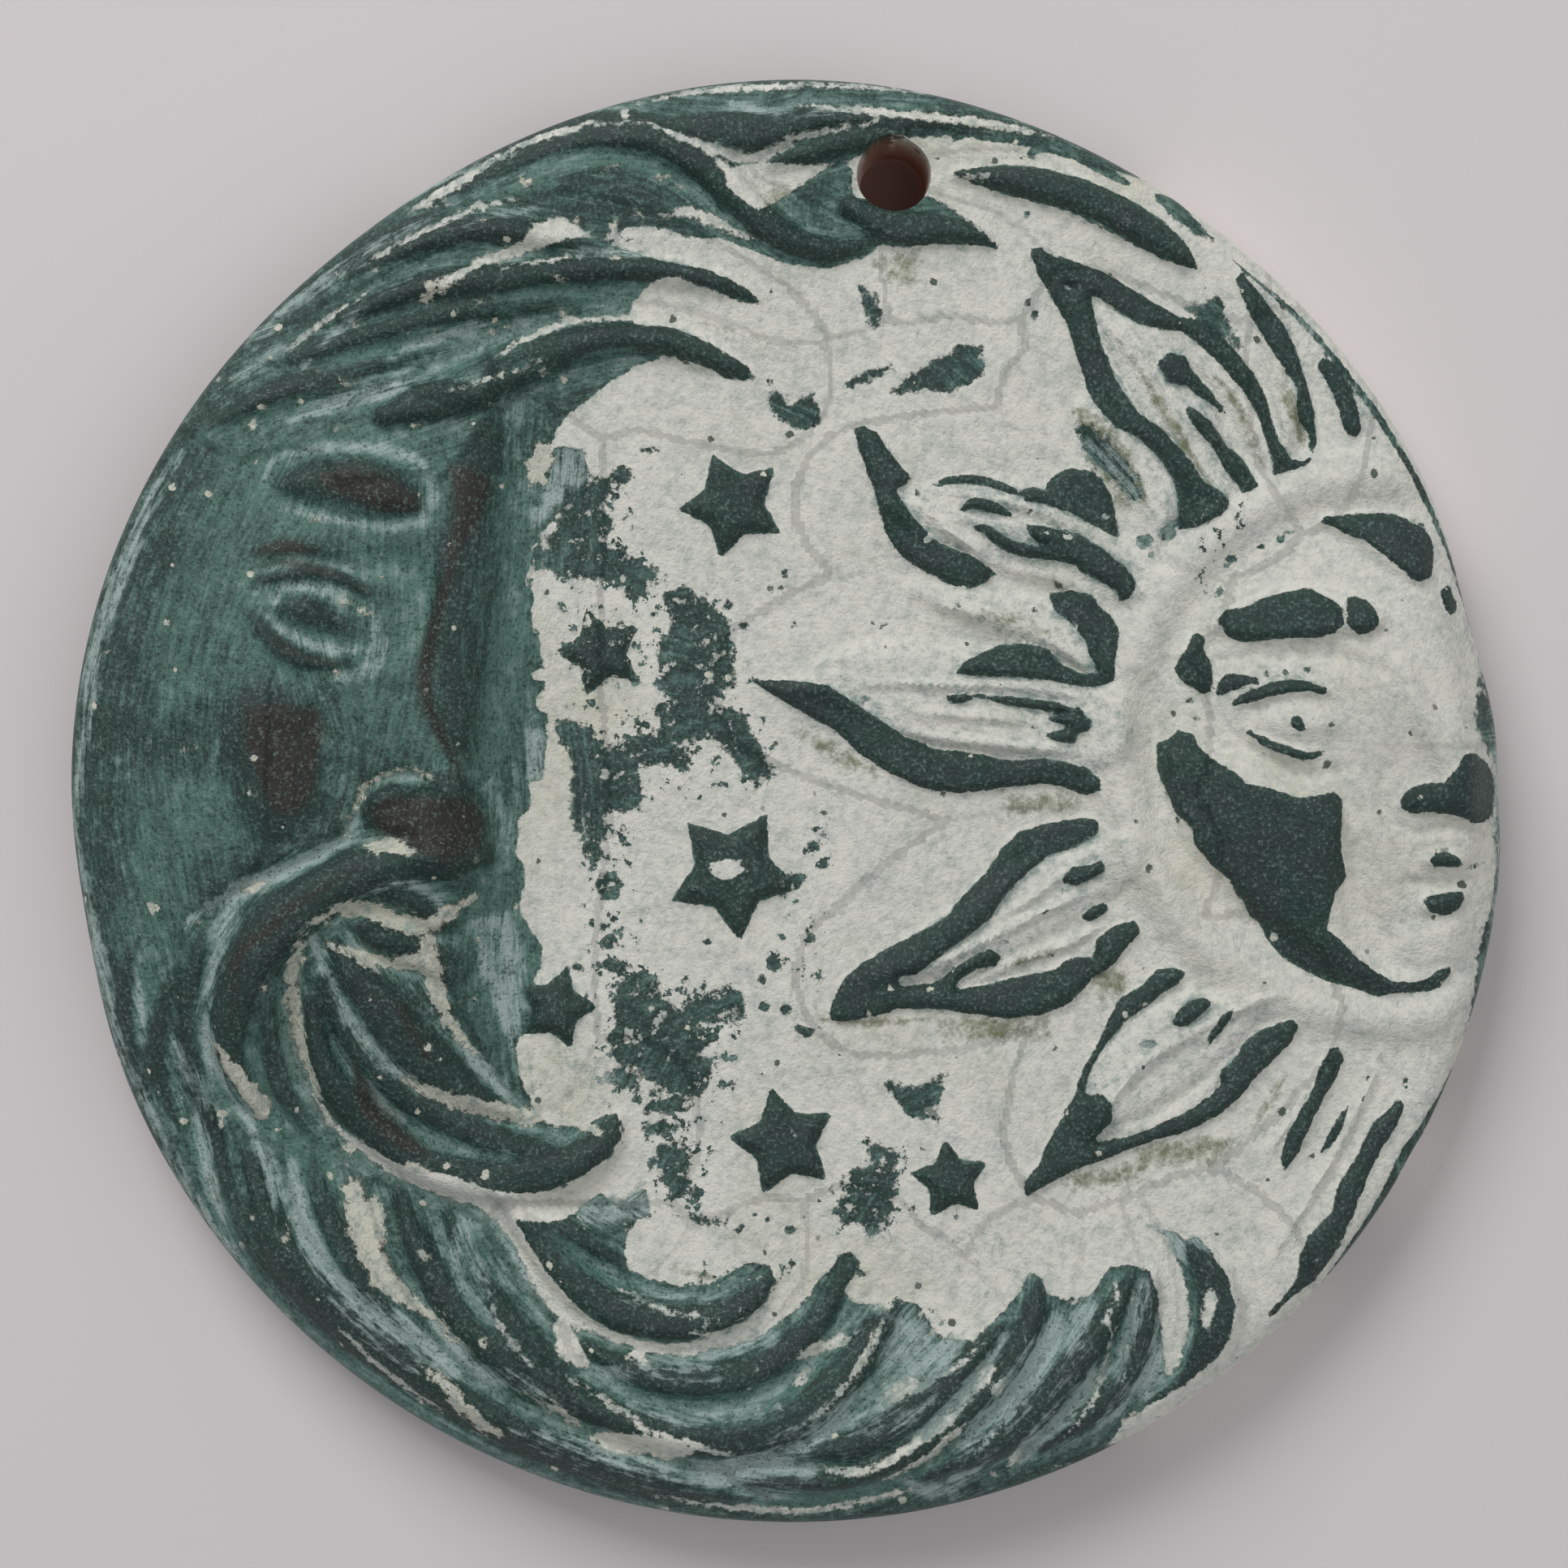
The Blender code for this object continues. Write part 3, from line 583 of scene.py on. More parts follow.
    misty: Shapes = runs(
        (.7, 29, 47, 33, 44, 35.5, 42.5),
        (.7, 37.5, 45.5, 44, 39, 51, 35),
        (.6, 31, 43, 38.5, 35.5),
        (.8, 70, 31, 78, 31.6, 85, 32.8),
        (2, 44, 158, 50, 164, 56, 169),
        (.8, 52, 160, 56, 165, 60, 169, 64, 170),
        (.7, 76, 159.6, 80, 160, 84, 159.6),
        (1.6, 74, 168.4, 82, 168.6, 90, 168.8),
        (.8, 77, 172.5, 83, 174.5, 88, 174.5, 93, 174, 96, 173),
        (1.2, 112, 178, 118, 172, 124, 164),
        (3.2, 118, 182, 124, 172, 130, 163),
        (2.6, 126, 179, 132, 170, 134, 160),
        (1.2, 141.5, 160, 142, 168, 141, 172),
        (1, 20, 142, 25, 150, 30, 156),
        (1.2, 24, 135, 25.7, 143.8, 27.5, 150.3),
        (1.6, 36, 143, 38, 151, 41, 157, 46, 164, 52, 169),
        (2, 56.7, 151, 58, 156.5, 61, 162),
        (.8, 30, 137, 33, 143, 34.6, 150),
        (.7, 62, 152, 66, 158, 72, 163),
        (.7, 48, 44.6, 54, 41.8, 60, 40),
        (.6, 38, 50.6, 46, 48.4, 54, 47.6, 60, 46.4),
        (.6, 52, 31, 60, 27.6, 66, 26),
        (.6, 84, 41, 90, 42.4),
        (2.6, 104, 178, 112, 172, 118, 164),
        (2.4, 90, 180, 98, 177, 105, 171),
        (2, 62, 175, 70, 178.6, 80, 181.6, 88, 183),
        (2.4, 136, 175, 140, 167, 141, 158),
        (1.6, 60, 167, 68, 171.4, 74, 173),
        (1, 30, 42, 38, 36, 46, 30.6, 54, 26.6),
        (1, 36, 52, 46, 49, 56, 47.8),
        (.9, 48, 24.6, 58, 20.6, 68, 17.4),
        (.8, 90, 13, 98, 14.6, 106, 13.4),
        (2.4, 87, 181, 94, 182.6, 100, 181),
        (1.6, 108, 161, 112, 164, 116, 166.6),
        (1.2, 112, 182.4, 115, 183.6, 118, 184),
    ) + areas(
        (71.2, 148.5, 75.7, 146.5, 80, 145.2, 80.3, 149.7, 76.5, 150.5, 72, 151),
    )
    shadows: Strokes = runs(
        (2.4, 31.5, 141, 34, 150, 35, 157, 42, 165, 54, 172),
        (1.6, 53, 151, 55, 160),
        (1.6, 75, 170.5, 82, 173.4, 88, 173.8),
    )

    def brush(self, paint: Paint) -> None:
        """Lay white, cream and thin brushed tints over the locks."""
        paint.pale.rub(self.top[3:5] + self.green, 0.2)
        paint.pale.lay(self.white, 0.5)
        paint.cream.lay(self.cream, 0.5)
        paint.teal.dab(self.pale_teal, 0.9, 1.6)
        paint.haze.dab(self.misty, 0.8, 1.2)
        paint.teal.wipe(self.shadows, 0.8, 2)

    def carve(self, sheet: Sheet, from_rim: Array) -> Array:
        """Height of the hair over the slab, in millimetres."""
        belt = below(from_rim, self.belt_inside) * above(from_rim, self.belt_outside)
        top = below(sheet.x, self.top_right) * below(sheet.y, self.top_end)
        foot = below(sheet.x, self.foot_right) * above(sheet.y, self.foot_start)
        locks = sheet.raise_forms(self.top + self.foot) + sheet.raise_forms(self.side)
        return self.swell * belt * np.maximum(top, foot) + locks


@dataclass
class MoonHead:
    """The bearded moon's head with its face and beard."""

    height: float = 6.2
    profile: float = 67.0
    profile_shoulder: float = 15.0
    swing: float = 1.6
    swing_start: float = 57.0
    swing_length: float = 26.0
    nostril: float = 2.4
    nostril_place: float = 98.0
    nostril_spread: float = 7.0
    head_top: Point = (38, 22)
    head_end: Point = (146, 30)
    rim_edge: Point = (-6, 34)
    beard: Strokes = forms(
        (3, 3.4, (1.6, 3, 3.6, 4, 4.2, 4, 3.6, 3, .8), 60, 105.6, 54, 105.8, 47, 106.8, 41, 109.4, 35, 114.2,
         30.8, 120.4, 28.8, 127, 29.6, 133, 33, 138),
        (1.8, 1.8, (.6, 2, 2, .6), 34.6, 118, 33.4, 126, 35, 134, 39, 140),
        (2.6, 2.8, (1.2, 3.4, 4, 3.2, .8), 42, 116, 46, 122, 51, 129, 57, 134, 63.4, 137),
        (2.3, 2, (.8, 2.2, 2.6, 2.7, 2.2, .8), 40.4, 120, 44, 128, 50, 134.6, 57, 138.8, 64, 141.2, 69,
         141.4),
        (3, 2.4, (1, 2.6, 3.1, 3.3, 3.4, 3.2, 2.2, .3), 38.8, 123, 41, 132, 46.6, 139, 54, 143.6, 62, 145.2,
         70, 143.6, 74.6, 140.4, 76.7, 137),
    )
    face: Strokes = forms(
        (1.7, 3.2, (1, 3.6, 4, 1), 34.6, 60, 41, 59.8, 47, 60.6, 53, 63),
        (1.2, .9, (.5, 1.1, 1.2, .5), 32, 72.2, 36.6, 71, 41, 71, 46.6, 73.6),
        (1.1, 1, (.5, 1.2, 1.2, .5), 31.2, 75.2, 34.4, 79.4, 38.6, 81.6, 43.6, 82),
        (1.3, 2.2, (.6, 2.7, .6), 34.4, 75, 38.8, 75.6, 44.4, 78),
        (.7, 1.5, (.6, 1.6, .6), 33, 68.6, 39, 67.6, 46, 69.8),
        (2.6, 5.4, (6.4, 6.2), 55, 100.8, 56, 102.4),
        (2.4, 3.2, (4, 3.6), 48.6, 99.6, 51, 101.6),
        (1.5, 6.4, (6.6, 7), 33.6, 90, 34.8, 97),
        (1.3, 1.4, (.5, 1.7, .5), 45.6, 110.8, 50, 110, 54, 112.2),
        (1.5, 1.6, (.5, 2, .6), 43.4, 113.4, 47.4, 115, 52, 116.4),
        (1.2, 1.5, (.8, 1.9, .6), 54.6, 106.6, 57, 108.4, 59.4, 109.4),
        (.9, 1.4, (.4, 1.5, 1.6, 1.5, .4), 26.4, 53.4, 33, 50, 45, 48.2, 56, 48.4, 62.6, 50.6),
    )
    nose_ridge: Strokes = forms(
        (1.8, 4.4, (.6, 4.4, 4.8, 1), 60.5, 44, 59.3, 62, 57.4, 80, 57, 98),
    )
    grooves: Strokes = forms(
        (1.5, .9, (.9, 1, .9, 1, .9, .5), 43.4, 103.8, 44, 101, 45.4, 98, 49, 95.8, 52.6, 96.2, 54.4, 97.2),
        (1.1, 1.1, (.5, 1.2, .6), 45.6, 104, 50, 103.2, 54, 104.6),
        (1.5, 1.5, (.8, 1.4, 1.6, 1.6, 1.3, .8), 43.6, 103, 40, 105.6, 35, 107.6, 30.6, 109.6, 27, 114, 26,
         121),
        (1.3, .9, (.6, .9, 1.1, .8), 44, 112, 49.6, 113, 55, 115.6, 58, 114),
        (1.4, 1, (.6, 1, 1.3, .6), 43.4, 116.2, 48.4, 118.8, 53, 120.6, 56, 123),
        (1.6, 1.2, (.5, 1.3, 1.3, .5), 37.4, 116.6, 37, 121.6, 37, 128, 38.4, 133.8),
        (1, .9, (.6, .9, 1.2, .6), 55, 124, 57.6, 129, 61, 133.6, 65, 136.6),
        (1.2, 1.3, (.6, 1.4, 1.4, .6), 25.8, 124, 26.4, 130, 29.6, 135.6, 33, 138.4),
        (1, 3.2, (1, 3, 3.6, 1.6), 40, 70, 50, 70.6, 52, 76, 48.6, 82),
    )

    pale_teal: Shapes = areas(
        (22, 58, 27, 54, 40, 53, 54, 54, 64, 60, 66, 75, 65, 92, 58, 96, 50, 94, 44, 92, 42, 84, 30, 84, 20,
         90, 18, 80),
        (55, 108, 63, 104, 64, 112, 66, 118, 64, 126, 63, 132, 57, 124, 56, 116),
        (20, 94, 30, 96, 32, 104, 26, 110, 22, 122, 18, 124, 14, 112, 15, 100),
    ) + runs(
        (.9, 21.5, 111, 20, 116, 17, 126),
        (1.4, 34.5, 118, 34, 124, 35.5, 134),
        (.6, 44, 119, 49, 128.5),
        (.5, 45, 130, 48, 137, 54, 141.5),
        (.5, 40.5, 130, 44.5, 138.5),
        (1.2, 30, 124, 32, 132, 36, 138),
        (2.4, 50.4, 68, 50.8, 76, 50, 86),
        (3, 30, 58, 30.6, 64),
    )
    dark: Shapes = areas(
        (27, 54.5, 27.5, 58, 26.2, 61, 24, 64, 24, 67, 22.5, 70, 20.5, 72, 20, 76, 17, 80, 13.5, 80, 13, 77,
         15, 72, 17, 66, 20, 60, 23, 56),
        (38.5, 58, 44, 57, 49, 58.5, 52.5, 61, 52.5, 64, 48, 64, 43, 62.5, 39, 60),
        (30.5, 86.5, 35, 86, 41, 87, 41.5, 90, 40, 98, 38.5, 101, 34.5, 101, 33, 97, 30.5, 92),
        (55, 57, 60, 57.5, 61.5, 60, 60.5, 64, 59, 67, 56, 72, 54.5, 70, 56, 64),
        (52, 98, 55, 96, 59, 97, 61, 100, 60, 105, 56, 107, 52, 105, 51, 101),
        (11.5, 100, 16, 102, 17, 110, 14, 112, 12, 108),
        (19, 119, 22, 119, 23, 125, 20, 125),
    ) + runs(
        (.7, 31.5, 68.6, 35, 67.6, 40, 69),
        (.6, 33, 71.8, 37, 71.2, 41, 71, 45.5, 72.8),
        (.8, 32, 75.5, 37, 80, 43, 81.8),
        (.8, 55.5, 70, 54.5, 74, 53.5, 78, 52.5, 82, 52, 86, 54, 90),
        (1.6, 37, 62, 38, 59, 40, 58),
    ) + spots(
        (39, 75.7, 2, 1.4), (43.2, 77.2, 1.2, .8),
    )
    worn: Shapes = areas(
        (39, 59, 44, 57.6, 49, 59, 52.5, 61.6, 52, 64, 48, 64, 43, 62, 40, 60.4),
        (31, 87, 35, 86.4, 40.4, 87.4, 41, 90, 39.6, 98, 38, 100.6, 34.6, 100.6, 33, 97, 31, 92),
        (55.5, 57.4, 60, 58, 61, 60, 60, 64, 58.4, 67, 56, 70, 55, 70, 56.4, 64),
        (46, 99.4, 49, 97.8, 54, 98, 59, 98.4, 60.4, 101, 59.6, 105, 55.6, 106.4, 51, 104.6, 47, 102.4),
    ) + runs(
        (1.3, 57.6, 66, 55.4, 73, 53.4, 80, 53.2, 86, 55, 91, 57.5, 96),
        (.8, 32, 70.2, 35, 69.6, 39, 70.2, 43, 71.2, 46.2, 73.6),
        (.7, 32.6, 76.4, 36.4, 80.2, 42, 82),
        (1.2, 31.6, 68.6, 36, 67.6, 40, 68.4),
        (1, 45.5, 106.5, 38, 111, 34, 114.5, 30.5, 117.5, 29.5, 126),
        (1.5, 44, 130, 46, 136, 50, 140, 53, 142),
        (2, 50, 123.6, 53, 129.6),
    )
    misty: Shapes = runs(
        (1.3, 22.5, 55.5, 19, 60.5, 17, 65, 15, 70, 13.5, 74, 12, 79, 11, 84, 10.8, 88, 9.5, 96, 9, 100),
        (.8, 33, 60, 34, 57.5, 37, 56, 43, 55.5, 49, 56, 52.5, 58, 54, 61, 53, 64, 50, 65.5, 45, 65, 35, 63),
        (.35, 32.5, 71, 37, 70, 44, 70.8),
        (.5, 30, 72.2, 37, 72.8, 41, 72.5, 46.5, 75.5),
        (1.1, 47, 76, 47.2, 80, 46, 83, 42, 83.8),
        (.6, 31, 73.4, 35, 72.4, 40, 73, 45, 75.5, 47.5, 78),
        (.6, 33.5, 75.8, 37, 78.8, 42, 80.4, 46, 80),
        (.9, 8.5, 100, 10.5, 110, 12.5, 120, 15, 129, 17.5, 135, 21, 142, 24.5, 148),
        (.5, 45.7, 132.8, 48.7, 138.7, 55.2, 143),
        (.8, 39.2, 114.6, 42.1, 123.3, 46.5, 129.2, 50.8, 132.8, 56.7, 135.7),
        (1.2, 22, 128, 24, 133, 27, 138),
        (.5, 18, 116, 17, 122, 19, 129),
        (.5, 30, 110, 28, 115, 26.5, 124),
        (.9, 23, 114, 29, 110, 35, 107.5, 42, 104),
        (.6, 45.5, 110, 51, 108.5, 55, 111),
        (.7, 41, 119, 44, 125.5, 50, 132, 56, 135),
        (1.2, 36, 115.6, 41, 112.6),
        (.8, 56, 126, 59, 131, 63, 135.6),
        (.5, 32.5, 71, 37, 70, 44, 70.8),
    ) + areas(
        (68.5, 55, 72.2, 55.3, 72.5, 59.5, 70, 60.5, 69, 62, 65.5, 65),
        (65, 90, 67.2, 90, 67.2, 96, 65, 96),
        (64, 128.6, 70, 129.4, 75, 130, 76, 133, 74.5, 135, 72, 137, 69, 136, 65, 135),
        (58, 113, 63, 112, 64.4, 118, 64, 126, 64, 131, 60.4, 124),
        (26.2, 125, 28.5, 130, 31, 134.5, 33, 138, 30, 136.5, 26, 131, 25, 128),
    ) + spots(
        (34.8, 74.2, .9),
    )
    cream: Shapes = runs(
        (.6, 42.5, 74.5, 44.6, 75, 47, 76.5),
        (.6, 43, 103, 44, 100, 44.5, 99, 46, 96.5, 48, 95.5, 51, 94.5, 55, 97),
        (.8, 30, 109.4, 32, 109.2, 34.5, 108.6),
        (1, 39, 113.6, 36.8, 119, 36.8, 124, 37.7, 129.2, 39.2, 133.6, 41, 138.7),
        (1.2, 45.7, 104.4, 48.7, 104, 51.8, 105),
        (1.2, 40, 113.4, 42.8, 111.9, 46.5, 112, 50.1, 113.5, 53.8, 113.5, 56.7, 111.7, 58.9, 110.2),
        (1.1, 41.4, 116, 44.3, 117.1, 47.9, 118.4, 52.3, 118.4, 54, 121.2, 55.2, 124.8, 57.4, 128.4, 59,
         130),
        (1.2, 52.6, 113.4, 53.8, 118, 54.5, 121.2),
        (1.2, 50, 132.4, 54, 134.4, 58.4, 136, 64, 137.4, 70, 138, 74, 139.4),
        (1.2, 27.5, 128.6, 29.6, 132, 32, 135.4, 33.4, 137.4),
    ) + areas(
        (69, 54.5, 68, 57.5, 67.2, 60, 65.5, 60, 64.8, 57.5, 66, 54.5),
    ) + spots(
        (43.5, 141.2, 1.5, 1.1), (43.5, 146.5, 1.5, 1.2), (24.5, 92.2, 1, .3), (39.3, 64.8, .5, .7),
        (19, 91.5, .4), (16.9, 93.6, .3), (18, 99, .3), (27.2, 66.4, .3), (28.3, 73.8, .3), (27, 78.2, .3),
        (21.3, 73.8, .25), (13.5, 80.3, .5), (43.2, 67.2, .3), (47.7, 68.7, .3), (47.8, 71.7, .3),
        (48.7, 72.8, .3), (52, 61.5, .3), (53, 61.8, .3), (46.2, 57.7, .25), (48.3, 58.3, .25),
        (32, 57.3, .3), (32.2, 59.4, .3), (46, 62, .25), (33.8, 82.9, .35), (42.2, 83, .3), (40.5, 93.4, .3),
        (43, 89.9, .25), (48.5, 91.7, .3), (19, 111.8, .7, .6), (40.3, 107.3, .35), (43.7, 113, .3),
        (33.5, 121.2, .6, .5), (30.8, 126.3, .3), (25, 113.6, .3), (17.8, 116, .3), (14.8, 117.6, .3),
        (28.8, 115, .3), (32.3, 136.7, 1.4, 1.1, 30), (48.5, 136.8, .3), (38, 136.4, .3), (26, 146.2, .3),
        (59, 115.7, .4, .7), (39.7, 134.5, .5),
    )
    smears: Shapes = runs(
        (.4, 66.8, 66, 65.5, 68),
        (.35, 66, 68.5, 65.4, 70.6, 64.5, 73),
    ) + spots(
        (67.5, 71.5, .8, 1.4), (66, 76, .45, 2), (66.5, 83.2, 1.1, .7), (67, 86.5, .9, 1.4),
        (66.8, 89.5, .3),
    )
    drift: Strokes = runs(
        (3, 64, 50, 63, 66, 62, 84, 63, 100, 62, 118, 64, 134),
        (3, 50, 66, 50, 80, 47, 94),
        (3, 24, 58, 17, 72, 13, 88, 13, 104, 16, 120, 22, 136),
        (3, 34, 62, 28, 76, 26, 92, 28, 106),
        (3, 40, 84, 42, 92, 40, 100),
    )

    def brush(self, paint: Paint) -> None:
        """Lay brushed teal, worn brown, mist and cream over the head."""
        paint.teal.dab(self.pale_teal, 0.8, 5)
        paint.teal.wipe(self.dark, 0.95, 3)
        paint.worn.dab(self.worn, 1, 2.2)
        paint.haze.dab(self.misty, 0.8, 1.2)
        paint.cream.lay(self.cream, 0.4)
        paint.pale.lay(self.smears, 0.2)

    def carve(self, sheet: Sheet, from_rim: Array) -> Array:
        """Height of the head over the slab, in millimetres."""
        swing = self.swing * np.sin((sheet.y - self.swing_start) / self.swing_length * math.pi / 2)
        nostril = self.nostril * np.exp(-((sheet.y - self.nostril_place) / self.nostril_spread) ** 2)
        profile = self.profile + swing - nostril
        window = above(sheet.y, self.head_top) * below(sheet.y, self.head_end)
        dome = soft_step(profile - sheet.x, self.profile_shoulder) * above(from_rim, self.rim_edge) * window
        features = sheet.raise_forms(self.beard) + sheet.raise_forms(self.face)
        features += sheet.raise_forms(self.nose_ridge) - sheet.raise_forms(self.grooves)
        return self.height * dome + features


@dataclass
class SunHead:
    """The sun's face inside its rolled hood."""

    height: float = 3.6
    hood_radius: float = 33.6
    hood_breadth: float = 4.6
    hood_height: float = 1.9
    face: Strokes = forms(
        (1.3, 1.2, (1.4, 3.6, 3.4, 1.6), 150, 77.2, 156, 75.8, 162, 75.8, 169, 76.4),
        (1, 1, (.8, 2.2, 3.4, 1.8), 162.6, 64.4, 168, 65.6, 172.4, 67.6, 174.6, 70.4),
        (.8, .8, (1.1, 1.1), 178.4, 72.6, 178.8, 75.4),
        (.8, 1, (2, 1.8), 146.6, 80.6, 147.4, 83.6),
        (1.2, .7, (.5, 1.1, .5), 152.2, 86.8, 157, 85.1, 162.8, 85.3),
        (1.1, .7, (.4, .9, .4), 154, 90.8, 157.4, 92.8, 161, 93.2),
        (1, 2.2, (.5, 2.8, .8), 154, 88.9, 159, 88.9, 165, 89.8),
        (1.6, 1.8, (2.2, 6.4, 7.4, 5, 2.8, 1.8, .8), 145, 93.6, 150.4, 99, 156, 104.4, 160, 110.6, 164.4,
         116.8, 170.6, 120.6, 178, 119.8),
        (1.6, 1.8, (4.4, 4.4), 158.6, 101.4, 161, 101.4),
        (1.9, 3, (1.4, 2.4, 4.2, 4.6), 172, 82, 175, 89, 179.6, 94, 180.4, 96.8),
        (1, 1.2, (1.8, 2), 173.8, 98.6, 178, 98.4),
        (1, .8, (1.1, 1.1), 175.4, 105.8, 179.6, 105.9),
        (1.1, 1, (1.4, 1.6), 175.2, 111.6, 179.4, 110.8),
        (1.2, 3.6, (4, 4), 175, 117, 180, 115),
    )
    grooves: Strokes = forms(
        (1, .9, (.5, .9, 1, .5), 170.4, 94.4, 169.6, 98, 171, 101.4, 174, 102.6),
        (.8, .8, (.5, .9, .5), 173, 103, 178.6, 102, 183, 103.4),
        (.9, .6, (.4, .7, .4), 172.6, 108.6, 178, 108.8, 183, 108),
        (.8, 1.1, (.8, 1.2, .8), 166.4, 104, 167.6, 111, 171, 116.4),
        (.8, 1, (.5, 1, 1.1, .5), 150, 88.4, 154, 92.6, 160, 95.4, 167, 94.4),
        (.7, 1.3, (.8, 1.4, 1.4, .8), 149.6, 81.4, 156, 81, 164, 81, 170, 83),
    )

    tops: Shapes = areas(
        (162.3, 64.5, 163, 63.8, 165, 63.5, 170, 63.2, 172, 63.5, 174, 64.5, 175.5, 65, 176.5, 66.8, 176.5,
         69, 176.2, 71, 174.5, 71.8, 173.5, 71.5, 172, 70, 170, 68.5, 168, 66.8, 165.5, 66, 164.5, 65.2),
        (149.6, 76.5, 151, 75.2, 153, 75, 155, 74, 157.5, 73.2, 160, 72.7, 161.5, 72.8, 163, 73.8, 164.8, 75,
         165, 77, 164, 78, 162, 78.7, 159, 78.7, 156, 79, 153, 79.2, 151, 78.5),
        (165.3, 74, 166.5, 73.5, 168, 74.2, 169, 75.5, 169.3, 77, 168.5, 78, 166.8, 78.3, 165.5, 77.5),
        (177.3, 73, 178, 72.2, 178.8, 72.2, 179, 73.5, 179.5, 74, 179.5, 75.2, 178.5, 76, 177.8, 75.2),
        (144.5, 82.5, 145.5, 80.8, 146.2, 79.5, 147, 78, 148.5, 78.5, 148, 80, 149, 81.5, 149.3, 83.5, 149,
         85, 148, 85.8, 147, 84.8, 145.5, 84),
        (149.5, 85.5, 150, 84, 151, 83, 153, 83.3, 154.5, 83.5, 155, 84.2, 153.5, 84.5, 151.5, 85.2, 150,
         86),
        (158.2, 88.5, 159.8, 88.2, 160, 89.5, 160.5, 90.5, 159, 90, 158.3, 89.3),
        (142.5, 91.5, 144, 91, 145, 90, 147, 90.5, 147.5, 92, 149, 93.5, 152, 95.5, 153, 96.5, 156, 97.2,
         159, 98.2, 161, 98.2, 164, 97.5, 164.8, 98.5, 164.8, 100, 164.5, 103, 165, 106, 165.5, 108, 164,
         110, 163.5, 112, 163, 114.5, 165, 116, 167, 118, 169, 119.5, 171, 120.8, 174, 121, 176, 120.5, 177,
         119.5, 178.5, 119, 178.8, 119.5, 178, 120.5, 177.2, 121.8, 175, 122.2, 171.5, 122.3, 169.5, 122.8,
         167, 121.8, 164, 121, 161, 119.8, 158, 118, 156, 115.5, 155, 113.5, 154, 113, 153, 111, 152, 110,
         151, 108, 149, 106.5, 147, 104, 146.5, 102, 145, 100.5, 143.5, 97.5, 142.5, 94.5),
        (171.8, 98.5, 173, 97.2, 175, 96.5, 177, 96.5, 178.5, 94.5, 179.8, 92.8, 181.5, 93, 183, 94, 184,
         95.5, 184.3, 97.5, 184, 100, 183, 101.2, 181.5, 101.5, 180, 101, 178, 100.3, 175, 100, 173, 100.3,
         172, 99.5),
        (175.5, 106, 176, 105.2, 178, 105, 179, 105.5, 179.8, 106.8, 178.5, 106.7, 176, 106.8),
        (174.8, 111, 175.5, 110.3, 178.5, 109.8, 179.8, 109.8, 180, 110.8, 179, 112.2, 177.5, 112.8, 175.5,
         112.2),
    ) + runs(
        (.8, 151.8, 86.7, 154, 85.8, 157, 84.9, 160, 84.6, 162.8, 85.3),
        (.6, 153.5, 90.2, 155.5, 91.5, 158, 92.5, 160.5, 93.2, 162.5, 92.8),
    )
    top_height: float = 0.6
    top_shoulder: float = 0.5

    def raise_tops(self, sheet: Sheet) -> Array:
        """Height of the flat tops over the face."""
        return sheet.raise_tops(self.tops, self.top_height, self.top_shoulder)

    def brush(self, paint: Paint) -> None:
        """Wipe the white off the high places of the face."""
        paint.pale.rub(self.tops, 0.2)
        paint.polish.dab(self.tops, 0.9, 1.0)

    def carve(self, sheet: Sheet) -> Array:
        """Height of the head over the slab, in millimetres."""
        away = np.hypot(sheet.x - SUN_MIDDLE[0], sheet.y - SUN_MIDDLE[1])
        head = self.height * soft_step(1 - away / self.hood_radius, 0.75)
        roll = soft_step(self.hood_breadth - np.abs(away - self.hood_radius), self.hood_breadth)
        features = sheet.raise_forms(self.face) - sheet.raise_forms(self.grooves)
        return head + self.hood_height * roll + features


